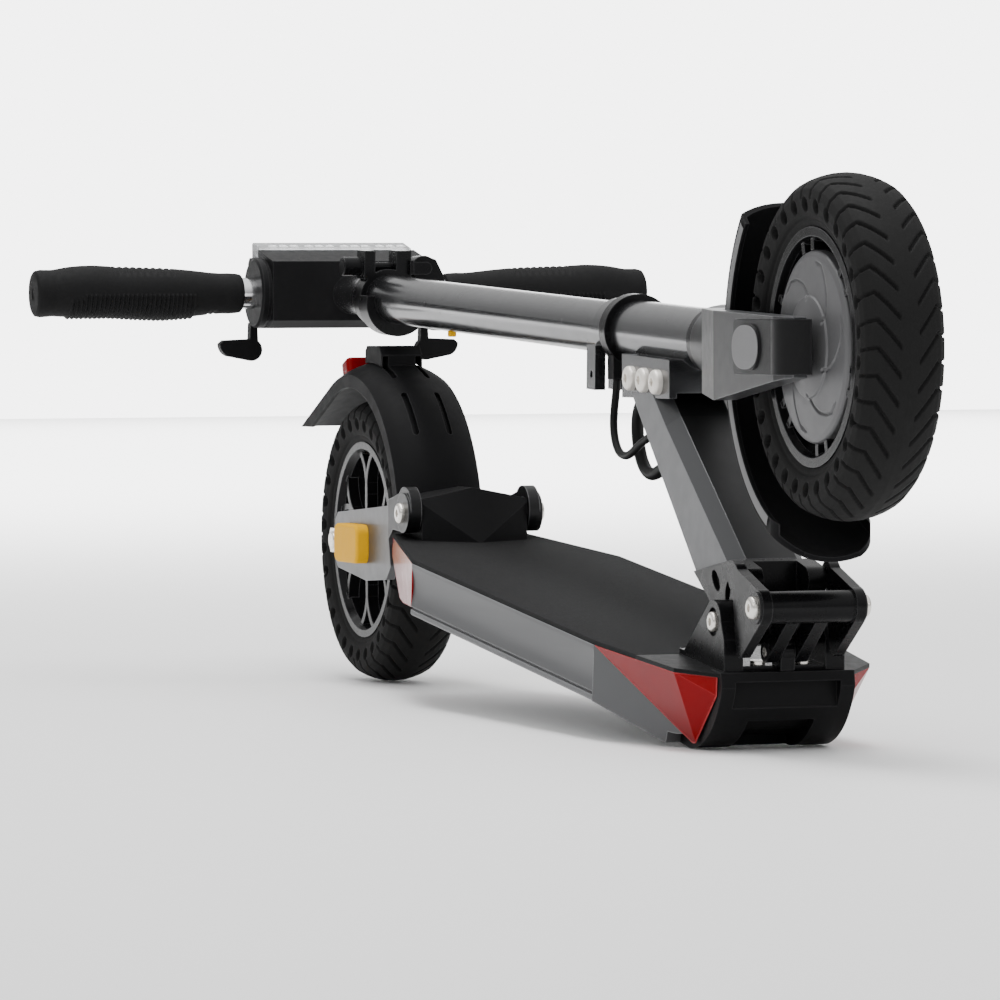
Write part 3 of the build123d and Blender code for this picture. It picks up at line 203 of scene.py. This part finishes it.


# Painted shade: faces of the fork that point sideways are painted near black.
fork_paint_and_side_shade = material("fork_paint_and_side_shade", (0.092, 0.094, 0.098), 0.34, metallic=0.6, vary=0.06, bump=0.05,
                      bump_scale=2600, coat=0.05, coat_rough=0.25, edge=0.5, edge_colour=(0.30, 0.30, 0.31),
                      zones=[((0.022, 0.022, 0.023), "Normal size", "Y", 0.7, 0.9)])
arm_paint = material("arm_paint", (0.105, 0.107, 0.111), 0.36, metallic=0.6, vary=0.06, bump=0.05,
                     bump_scale=2600, coat=0.05, coat_rough=0.25, edge=0.5, edge_colour=(0.32, 0.32, 0.33),
                     zones=[((0.008, 0.008, 0.0085), "Object", "X", REAR_X + 0.116, REAR_X + 0.119)])
# Painted shade: faces of the neck arm that point forward are painted near black, as its shaded front.
neck_paint_and_front_shade = material("neck_paint_and_front_shade", (0.092, 0.094, 0.098), 0.36, metallic=0.6, vary=0.06, bump=0.05,
                      bump_scale=2600, coat=0.05, coat_rough=0.25, edge=0.4, edge_colour=(0.28, 0.28, 0.29),
                      zones=[((0.009, 0.009, 0.0095), "Normal", "X", 0.25, 0.62)])
stem_paint = material("stem_paint", (0.048, 0.049, 0.052), 0.24, metallic=0.85, vary=0.05, bump=0.02,
                      bump_scale=2600, coat=0.4, coat_rough=0.10, edge=0.4, edge_colour=(0.25, 0.25, 0.26))
deck_metal = material("deck_metal", (0.090, 0.092, 0.095), 0.40, metallic=0.35, specular=0.15, vary=0.07,
                      vary_scale=14, bump=0.08, bump_scale=700, stretch=(0.06, 1, 1), edge=0.6,
                      edge_colour=(0.36, 0.36, 0.37))
black_metal = material("black_metal", (0.005, 0.005, 0.0055), 0.28, metallic=0.2, vary=0.1, bump=0.04,
                       bump_scale=3000, specular=0.14, coat=0.06, coat_rough=0.15, edge=0.6,
                       edge_colour=(0.06, 0.06, 0.062))
steel = material("bright_steel", (0.78, 0.75, 0.70), 0.24, metallic=0.8, vary=0.05, bump=0.05, bump_scale=1500,
                 edge=0.3, edge_colour=(0.9, 0.88, 0.85))
cream_steel = material("cream_steel", (0.82, 0.78, 0.72), 0.36, metallic=0.35, vary=0.04, bump=0.04,
                       bump_scale=1500, edge=0.3, edge_colour=(0.9, 0.88, 0.85))
chrome = material("bar_chrome", (0.72, 0.72, 0.73), 0.16, metallic=1.0, vary=0.03, bump=0.02, bump_scale=1200,
                  stretch=(0.05, 1, 1))
hub_metal = material("hub_metal", (0.105, 0.105, 0.108), 0.40, metallic=0.35, specular=0.2, vary=0.08,
                     bump=0.12, bump_scale=1700, edge=0.5, edge_colour=(0.30, 0.30, 0.30))
rim_metal = material("rim_metal", (0.006, 0.006, 0.0065), 0.22, metallic=0.2, vary=0.1, bump=0.03,
                     specular=0.08, coat=0.06, coat_rough=0.12, edge=0.9, edge_colour=(0.10, 0.10, 0.103))
tyre_rubber = material("tyre_rubber", (0.0095, 0.0095, 0.0095), 0.72, vary=0.15, vary_scale=60, bump=0.22,
                       bump_scale=1500, specular=0.12, soften=0.0003)
grip_rubber = material("grip_rubber", (0.0075, 0.0075, 0.0078), 0.66, vary=0.12, vary_scale=70, bump=0.3,
                       bump_scale=2200, specular=0.12, soften=0.0003)
mat_rubber = material("mat_rubber", (0.018, 0.018, 0.0185), 0.80, vary=0.14, vary_scale=120, bump=0.9,
                      bump_scale=1300, fine=0.5, fine_scale=3500, specular=0.08, edge=0.5,
                      edge_colour=(0.006, 0.006, 0.006))
plastic = material("black_plastic", (0.0065, 0.0065, 0.007), 0.44, vary=0.1, vary_scale=50, bump=0.12,
                   bump_scale=3600, specular=0.09, edge=0.6, edge_colour=(0.035, 0.035, 0.036))
# Painted reflection: the lower chamfer of the housing, below 254.5 mm, is painted grey as a reflection of the
# floor.
housing_plastic_and_chamfer_reflection = material("housing_plastic_and_chamfer_reflection", (0.0075, 0.0075, 0.008), 0.42, vary=0.1, vary_scale=50,
                           bump=0.12, bump_scale=3600, specular=0.09, edge=0.6,
                           edge_colour=(0.035, 0.035, 0.036),
                           zones=[((0.055, 0.055, 0.056), "Object", "Z", 0.2547, 0.2543)])
cover_plastic = material("cover_plastic", (0.0085, 0.0085, 0.009), 0.34, vary=0.1, vary_scale=50, bump=0.06,
                         bump_scale=3600, specular=0.12, edge=0.5, edge_colour=(0.035, 0.035, 0.036),
                         zones=[((0.026, 0.026, 0.027), "Object", "X", REAR_X + 0.826, REAR_X + 0.818)])
fender_plastic = material("fender_plastic", (0.0065, 0.0065, 0.007), 0.50, vary=0.1, vary_scale=40, bump=0.05,
                          bump_scale=3000, specular=0.06, edge=0.6, edge_colour=(0.04, 0.04, 0.041))
grey_trim = material("grey_trim", (0.15, 0.15, 0.153), 0.42, vary=0.06, bump=0.06, bump_scale=2500, edge=0.4,
                     specular=0.12, edge_colour=(0.3, 0.3, 0.3))
# Painted highlight: the lens edges are tinted pale red.
red_lens = material("red_lens", (0.20, 0.002, 0.004), 0.20, vary=0.2, vary_scale=25, coat=0.03, coat_rough=0.05,
                    bump=0.02, bump_scale=400, edge=0.7, edge_colour=(0.70, 0.10, 0.10), soften=0.0008,
                    specular=0.06)
# Painted highlight: the lens edges are tinted near white.
clear_lens = material("clear_lens", (0.50, 0.51, 0.52), 0.12, vary=0.03, coat=0.6, coat_rough=0.05,
                      transmission=0.6, ior=1.35, edge=0.5, edge_colour=(0.9, 0.9, 0.92))
led_white = material("led_white", (1.0, 1.0, 1.0), 0.3, vary=0.02, glow=3.0)
yellow = material("yellow_plastic", (0.74, 0.38, 0.001), 0.42, vary=0.06, vary_scale=40, bump=0.04,
                  bump_scale=2500, specular=0.05, edge=0.4, edge_colour=(0.85, 0.55, 0.03))
screen = material("screen_plastic", (0.006, 0.006, 0.008), 0.08, vary=0.1, coat=1.0, coat_rough=0.03)
battery_wrap = material("battery_wrap", (0.02, 0.05, 0.16), 0.4, vary=0.1, bump=0.15, bump_scale=300)
cast_metal = material("cast_metal", (0.30, 0.30, 0.31), 0.45, metallic=0.8, vary=0.08, bump=0.2, bump_scale=900)
cable_jacket = material("cable_jacket", (0.006, 0.006, 0.006), 0.46, vary=0.1, bump=0.1, bump_scale=1800,
                        specular=0.15)


looks = {
    "deck_frame": deck_metal, "deck_mat": mat_rubber, "bottom_cover": plastic, "deck_screws": steel,
    "battery_pack": battery_wrap, "motor_controller": cast_metal, "front_lenses": red_lens,
    "rear_lenses": red_lens, "front_end_cap": plastic, "hinge_base": black_metal, "hinge_pins": steel,
    "pivot_housing": plastic, "stand_bracket": black_metal, "kickstand": black_metal, "rear_arm": arm_paint,
    "arm_pivot_bolt": steel, "rear_axle": steel, "side_reflectors": yellow, "rear_fender": fender_plastic,
    "tail_light": red_lens, "rear_tyre": tyre_rubber, "rear_rim": rim_metal, "rear_wheel_bearings": steel,
    "hinge_knuckle": black_metal, "neck_arm": neck_paint_and_front_shade, "cable_covers": plastic, "head_tube": stem_paint,
    "gusset_screws": cream_steel, "headset_bearings": steel, "headset_cups": black_metal,
    "brake_cable_loop": cable_jacket, "power_cable_loop": cable_jacket, "lock_lever": black_metal,
    "lock_lever_bolt": steel, "fork": fork_paint_and_side_shade, "fork_covers": cover_plastic, "front_axle": steel,
    "front_fender": fender_plastic, "stem_tube": stem_paint, "stem_base_clamp": stem_paint,
    "quick_release_clamp": black_metal, "quick_release_bolt": black_metal, "stow_hook": black_metal,
    "motor_stator": cast_metal, "front_tyre": tyre_rubber, "front_rim": rim_metal, "motor_covers": hub_metal,
    "front_wheel_bearings": steel, "inner_tube": chrome, "handlebar_tube": chrome,
    "control_housing_front": housing_plastic_and_chamfer_reflection, "control_housing_back": housing_plastic_and_chamfer_reflection, "display_window": screen,
    "headlight_lens": clear_lens, "grips": grip_rubber, "brake_trigger": plastic, "throttle_trigger": plastic,
    "quick_release_lever": black_metal, "power_button": plastic, "height_button": yellow,
}
for node_name, look_material in looks.items():
    mesh = nodes[node_name].data
    mesh.materials.clear()
    mesh.materials.append(look_material)


# ---- mesh helpers ----------------------------------------------------------------------------
def mesh_piece(name, points, faces, surface, body, replaces=()):
    """New smooth piece from points and faces, riding on a CAD body."""
    data = bpy.data.meshes.new(name)
    data.from_pydata(points, [], faces)
    data.update()
    data.materials.append(surface)
    data.shade_smooth()
    obj = add(name, data)
    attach(obj, body)
    if replaces:
        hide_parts(*replaces)


def extruded(name, outline, shift, centre, surface, body):
    """Flat piece: an outline in metres about its centre, extruded by shift and riding on a CAD body."""
    bm = bmesh.new()
    face = bm.faces.new([bm.verts.new(v) for v in outline])
    solid = bmesh.ops.extrude_face_region(bm, geom=[face])
    moved = [v for v in solid["geom"] if isinstance(v, bmesh.types.BMVert)]
    bmesh.ops.translate(bm, verts=moved, vec=shift)
    bmesh.ops.recalc_face_normals(bm, faces=bm.faces[:])
    data = bpy.data.meshes.new(name)
    bm.to_mesh(data)
    bm.free()
    data.materials.append(surface)
    obj = add(name, data)
    obj.location = centre
    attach(obj, body)


def step(value, low, high):
    """Smooth rise from 0 at low to 1 at high."""
    t = np.clip((value - low) / (high - low), 0, 1)
    return t * t * (3 - 2 * t)


def cosine_wave(run, start, pitch):
    """Wave between 0 and 1 that is 1 at start and at every pitch from it."""
    return 0.5 + 0.5 * np.cos(2 * math.pi * (run - start) / pitch)


def along(points, spacing):
    """Points evenly spaced along a broken line."""
    pts = np.array(points, float)
    run = np.r_[0, np.cumsum(np.hypot(*np.diff(pts, axis=0).T))]
    s = np.linspace(0, run[-1], max(2, int(round(run[-1] / spacing)) + 1))
    return np.interp(s, run, pts[:, 0]), np.interp(s, run, pts[:, 1])


def turned(name, centre, radius, y, steps, relief, surface, body, closed=False, start=0.0,
           arc=FULL_TURN, replaces=()):
    """Surface of revolution about +Y, pushed along its normal by relief(angle, radius, y), in millimetres.

    The normal points away from the axis where the profile runs towards +Y, and towards it where it runs back.
    """
    radius, y = np.asarray(radius, float), np.asarray(y, float)
    if closed:
        tr = np.roll(radius, -1) - np.roll(radius, 1)
        ty = np.roll(y, -1) - np.roll(y, 1)
    else:
        tr, ty = np.gradient(radius), np.gradient(y)
    size = np.hypot(tr, ty) + 1e-9
    nr, ny = ty / size, -tr / size
    whole = arc >= FULL_TURN
    angle = start + np.linspace(0, arc, steps, endpoint=not whole)
    a, r = np.meshgrid(angle, radius, indexing="ij")
    yy = np.broadcast_to(y, r.shape)
    push = relief(a, r, yy) if relief else np.zeros_like(r)
    rr = r + push * nr
    y2 = yy + push * ny
    co = np.stack([rr * np.cos(a), y2, rr * np.sin(a)], -1) / PER_METRE + np.array(centre)
    rows, cols = r.shape
    i = np.arange(rows if whole else rows - 1)[:, None]
    j = np.arange(cols if closed else cols - 1)[None, :]
    i2, j2 = (i + 1) % rows, (j + 1) % cols
    quads = np.stack(np.broadcast_arrays(i * cols + j, i * cols + j2, i2 * cols + j2, i2 * cols + j), -1)
    mesh_piece(name, co.reshape(-1, 3).tolist(), quads.reshape(-1, 4).tolist(), surface, body,
               replaces=replaces)


# ---- tyres, profiles as (radius, y) in millimetres --------------------------------------------
BEAD_RADIUS, BEAD_Y = 69.0, 20
HALF_PROFILE = [(BEAD_RADIUS, -BEAD_Y), (76, -23.5), (81, -24.6), (86, -25), (90.5, -23.8), (94.5, -20),
                (96.6, -16), (98.2, -11.5), (99.5, -6), (100, 0)]
CHEVRONS = 38
HOLES = 30
SHOULDER = 19.5  # distance from the middle of the crown at which the grooves turn
HOLE_CIRCLE, SEAM_CIRCLE = 81.5, 73.0
GROOVE_DEPTH, HOLE_DEPTH, SEAM_DEPTH = 1.9, 7.0, 0.5


def tread(angle, radius, y):
    """Slanted grooves across the crown, and a row of round holes and a fine seam in each side."""
    side = np.sign(y) + (y == 0)
    # distance from the middle of the crown, measured along the surface
    run = np.where(np.abs(y) < 20, np.abs(y) * 1.05, 21 + (94.5 - radius))
    pitch = FULL_TURN / CHEVRONS
    crown_lean = math.radians(9.5) * np.clip((SHOULDER - run) / 13.5, 0, 1)
    side_lean = math.radians(1.2) * np.clip((run - SHOULDER) / 11, 0, 1)
    lean = -crown_lean - side_lean
    shifted = (angle - lean + pitch / 2 * (side > 0)) % pitch
    off = np.minimum(shifted, pitch - shifted) * radius
    width = np.where(run < SHOULDER, 1.5, 1.0)
    groove = (1 - step(off, width - 0.3, width + 0.35)) * step(run, 5.4, 6.4) * (1 - step(run, 29.5, 31.0))
    groove = groove * (np.abs(y) > 3)
    turn = FULL_TURN / HOLES
    local = (angle + turn / 2 * (side > 0)) % turn - turn / 2
    reach = np.hypot(local * HOLE_CIRCLE, radius - HOLE_CIRCLE)
    hole = (1 - step(reach, 3.3, 4.1)) * (radius < 90) * (np.abs(y) > 20)
    seam = (1 - step(np.abs(radius - SEAM_CIRCLE), 0.4, 0.9)) * (np.abs(y) > 15)
    return -GROOVE_DEPTH * groove - HOLE_DEPTH * hole - SEAM_DEPTH * seam


tyre_r, tyre_y = along(HALF_PROFILE + [(r, -y) for r, y in HALF_PROFILE[-2::-1]], 0.72)
inner_y = np.linspace(BEAD_Y, -BEAD_Y, 6)[1:-1]
tyre_r = np.r_[tyre_r, np.full(len(inner_y), BEAD_RADIUS)]
tyre_y = np.r_[tyre_y, inner_y]
tyre_steps = 960
for hub, end in ((FRONT_HUB, "front"), (REAR_HUB, "rear")):
    turned(f"{end}_tyre_tread", hub, tyre_r, tyre_y, tyre_steps, tread, tyre_rubber, f"{end}_wheel",
           closed=True, replaces=(f"{end}_tyre",))

# ---- hub motor covers, profile as (radius, distance from the middle) in millimetres -------------
COVER_PROFILE = [(7.2, 14), (7.2, 28), (13, 28), (14.5, 27.4), (22, 25.2), (29.0, 23.4), (29.6, 22.2),
                 (34, 22.0), (52, 20.8), (54.5, 19.8), (55.4, 18.3), (55.4, 14)]
COVER_GROOVES = 6
BOSS_RADIUS = 26
HOOK_RADIUS = 48.5
COVER_GROOVE_DEPTH = 1.1


def cover_relief(angle, radius, y):
    """Curved grooves that leave the raised boss and hook round near the edge.

    The cover profiles have their normal towards the inside, so a positive value cuts in.
    """
    pitch = FULL_TURN / COVER_GROOVES
    lean = 0.85 * np.clip((radius - BOSS_RADIUS) / 26, 0, None) ** 1.3
    shifted = (angle - lean) % pitch - pitch / 2
    groove = (1 - step(np.abs(shifted) * radius, 0.7, 1.3)) * step(radius, BOSS_RADIUS, 27.5)
    groove = groove * (1 - step(radius, HOOK_RADIUS, 49.5))
    hook = (1 - step(np.abs(radius - HOOK_RADIUS), 0.7, 1.3)) * (shifted > -0.02) * (shifted < 0.16)
    return COVER_GROOVE_DEPTH * np.maximum(groove, hook)


for hand, label in SIDES:
    cover_r, cover_y = along(COVER_PROFILE[::hand], 0.5)
    turned("hub_cover_" + label, FRONT_HUB, cover_r, cover_y * hand, 360, cover_relief, hub_metal,
           "front_wheel", replaces=("motor_covers",))

# ---- grips, profile as (radius, distance from the middle) in millimetres ------------------------
GRIP_PROFILE = [(11.15, 76.6), (12.6, 76.6), (13.7, 77.4), (14.2, 80), (14.6, 86), (14.5, 92), (15.1, 100),
                (16.8, 115), (18.5, 135), (19.2, 160), (18.9, 185), (17.6, 205), (16.4, 216), (16.7, 221),
                (16.9, 225), (16.2, 228.4), (14.5, 229.5), (11.5, 229.7), (4.5, 229.7), (3.8, 229.2),
                (3.4, 229), (0.05, 229)]
RIB_PITCH, DENT_PITCH, RING_PITCH = 3.34, 5.0, 4.0
RIB_HEIGHT, DENT_DEPTH, RING_DEPTH = 1.7, 0.8, 0.8


def grip_relief(angle, radius, y):
    """Palm hollow, fine ribs on the palm side, small dents on top and two rings near the inner end.

    The grip profiles have their normal towards the inside, so a positive value cuts in.
    """
    reach = np.abs(y)
    below, above = np.clip(-np.sin(angle), 0, 1), np.clip(np.sin(angle), 0, 1)
    hollow = 2.6 * below * np.exp(-((reach - 176) / 30) ** 2)
    bulge = 1.8 * above * np.exp(-((reach - 196) / 22) ** 2)
    top = 0.02 + 0.22 * step(reach, 195.5, 196.0)
    lower = step(-np.sin(angle), top, top + 0.05)
    gaps = cosine_wave(reach, 113, RIB_PITCH) ** 0.7
    band = step(reach, 113, 114) * (1 - step(reach, 206, 207))
    dents = cosine_wave(reach, 129, DENT_PITCH) * step(above, 0.6, 0.85)
    dents = dents * step(reach, 128, 129) * (1 - step(reach, 173, 174))
    rings = (1 - cosine_wave(reach, 95, RING_PITCH)) * step(below, 0.75, 0.95)
    rings = rings * (reach > 95) * (reach < 103)
    ribs = RIB_HEIGHT * (1 - gaps) * lower * band * (radius > 14)
    return hollow - bulge - ribs + DENT_DEPTH * dents + RING_DEPTH * rings


for hand, label in SIDES:
    grip_r, grip_y = along(GRIP_PROFILE[::-hand], 0.45)
    turned("grip_" + label, BAR, grip_r, grip_y * hand, 160, grip_relief, grip_rubber, "handlebar",
           replaces=("grips",))

# ---- cable loops, routes in the terms of at() ---------------------------------------------------
THIN_ROUTE = [
    (511.0, -12.0, 217.0), (509.5, -12.3, 208.0), (508.0, -13.0, 198.0), (509.0, -14.0, 187.0),
    (514.0, -14.5, 177.5), (522.5, -15.0, 171.0), (533.0, -15.0, 169.0), (543.5, -15.2, 170.3),
    (554.0, -15.0, 174.5), (564.0, -14.5, 178.5), (574.0, -14.0, 181.0), (583.4, -13.6, 185.5),
]
THICK_ROUTE = [
    (546.0, -4.0, 206.5), (535.0, -3.0, 204.5), (523.5, -2.0, 198.5), (517.0, -1.0, 188.5),
    (516.0, 0.0, 177.0), (520.5, 0.5, 166.5), (529.5, 0.5, 159.5), (541.0, 0.0, 157.5),
    (553.0, -0.5, 159.0), (565.0, -1.0, 162.5), (577.0, -1.5, 164.5), (591.5, -2.0, 166.0),
]


def cable(name, route, radius, node):
    """Smooth jacketed cable along its route, hanging between its two ends."""
    curve = bpy.data.curves.new(name, "CURVE")
    curve.dimensions = "3D"
    curve.bevel_depth = radius
    curve.bevel_resolution = 8
    curve.resolution_u = 16
    curve.use_fill_caps = True
    spline = curve.splines.new("NURBS")
    spline.points.add(len(route) - 1)
    for point, place in zip(spline.points, route):
        point.co = (*at(*place), 1)
    spline.order_u = 3
    spline.use_endpoint_u = True
    curve.materials.append(cable_jacket)
    obj = add(name, curve)
    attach(obj, "neck")
    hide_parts(node)


cable("thin_cable", THIN_ROUTE, 0.0025, "brake_cable_loop")
cable("thick_cable", THICK_ROUTE, 0.004, "power_cable_loop")

# ---- small pieces, in millimetres ---------------------------------------------------------------
LAMP_RADIUS = 3.1
LAMP_GROUP_PITCH, LAMP_PITCH = 27, 8
LAMP_DEPTH = 0.004  # metres
lamp_outline = [(0.0, math.cos(math.pi * k / 16) * LAMP_RADIUS / PER_METRE,
                 math.sin(math.pi * k / 16) * LAMP_RADIUS / PER_METRE) for k in range(17)]
for group in range(4):
    for lamp in range(3):
        lamp_centre = at(-137, -44.5 + LAMP_GROUP_PITCH * group + LAMP_PITCH * lamp, 305.7)
        extruded(f"led_{group}_{lamp}", lamp_outline, (-LAMP_DEPTH, 0, 0), lamp_centre, led_white,
                 "handlebar")

BADGE_LENGTH, BADGE_WIDTH, BADGE_THICK = 41, 25.5, 0.9
BADGE_ROUNDNESS = 0.85  # 1 is an ellipse, less is squarer
badge_outline = []
for k in range(48):
    a = FULL_TURN * k / 48
    x, z = (math.copysign(abs(v) ** BADGE_ROUNDNESS, v) for v in (math.cos(a), math.sin(a)))
    badge_outline.append((x * BADGE_LENGTH / 2 / PER_METRE, 0, z * BADGE_WIDTH / 2 / PER_METRE))
for hand, label in SIDES:
    extruded("fork_badge_" + label, badge_outline, (0, hand * BADGE_THICK / PER_METRE, 0),
             at(830, 47.2 * hand, 238), grey_trim, "steering")
    turned("fender_band_" + label, FRONT_HUB, [107.2, 110, 113.2][::hand],
           [31.0 * hand, 31.1 * hand, 30.9 * hand], 90, None, grey_trim, "steering",
           start=math.radians(140), arc=math.radians(106))

# Dark trays close the slots in the rear mudguard.
TRAY_ARC = 21  # degrees
TRAY_PROFILE = [(121.6, 2.4), (121.9, 1.2), (122.1, 0), (121.9, -1.2), (121.6, -2.4)]
for angle, row in ((76, "upper"), (47, "lower")):
    for hand, label in SIDES:
        turned(f"fender_tray_{row}_{label}", REAR_HUB, [r for r, _ in TRAY_PROFILE],
               [12 * hand + y for _, y in TRAY_PROFILE], 24, None, plastic, "swing_arm",
               start=math.radians(angle - TRAY_ARC / 2), arc=math.radians(TRAY_ARC))

# ---- stage -----------------------------------------------------------------------------------
FLOOR_HALF = 12
floor_data = bpy.data.meshes.new("floor")
floor_corners = [(x * FLOOR_HALF, y * FLOOR_HALF, 0) for x, y in ((-1, -1), (1, -1), (1, 1), (-1, 1))]
floor_data.from_pydata(floor_corners, [], [(0, 1, 2, 3)])
floor = add("floor", floor_data)
floor.location.z = -0.0006
floor_data.materials.append(material("floor", (0.93, 0.93, 0.93), 0.65, vary=0.005, rough_vary=0.02))

# White studio: brighter overhead, with a narrow bright backdrop behind the object.
BACKDROP_DIRECTION = (-0.9477, 0.3178, -0.03)
world = bpy.data.worlds.new("studio")
world.use_nodes = True
studio = world.node_tree
sky = studio.nodes["Background"]
sky.inputs["Color"].default_value = (1.0, 1.0, 1.0, 1)
heading = studio.nodes.new("ShaderNodeTexCoord")
parts = studio.nodes.new("ShaderNodeSeparateXYZ")
studio.links.new(heading.outputs["Generated"], parts.inputs["Vector"])
behind = studio.nodes.new("ShaderNodeVectorMath")
behind.operation = "DOT_PRODUCT"
behind.inputs[1].default_value = BACKDROP_DIRECTION
studio.links.new(heading.outputs["Generated"], behind.inputs[0])
total = studio.nodes.new("ShaderNodeMath")
studio.links.new(remap(studio, parts.outputs["Z"], 0.15, 0.85, 0.50, 1.5), total.inputs[0])
studio.links.new(remap(studio, behind.outputs["Value"], 0.962, 0.990, 0.0, 5.0), total.inputs[1])
studio.links.new(total.outputs["Value"], sky.inputs["Strength"])
bpy.context.scene.world = world


def softbox(name, place, aim, size, power):
    """Rectangular area light at a place, aimed at a point, in metres and watts."""
    data = bpy.data.lights.new(name, "AREA")
    data.shape = "RECTANGLE"
    data.size, data.size_y = size
    data.energy = power
    obj = add(name, data)
    obj.location = place
    obj.rotation_mode = "QUATERNION"
    obj.rotation_quaternion = (Vector(aim) - Vector(place)).to_track_quat("-Z", "Y")
    return data


softbox("key", (1.6, -2.6, 1.6), (0, 0, 0.15), (1.4, 0.7), 7)
softbox("top", (0.0, -0.2, 2.4), (0, 0, 0.1), (2.6, 0.7), 52)
softbox("front", (3.0, 2.2, 1.2), (0.2, 0, 0.2), (0.5, 1.0), 9)

wash = softbox("floor_wash", (-7.5, 2.4, 4), (-7.5, 2.4, 0), (9, 9), 1300)
wash.spread = math.radians(80)
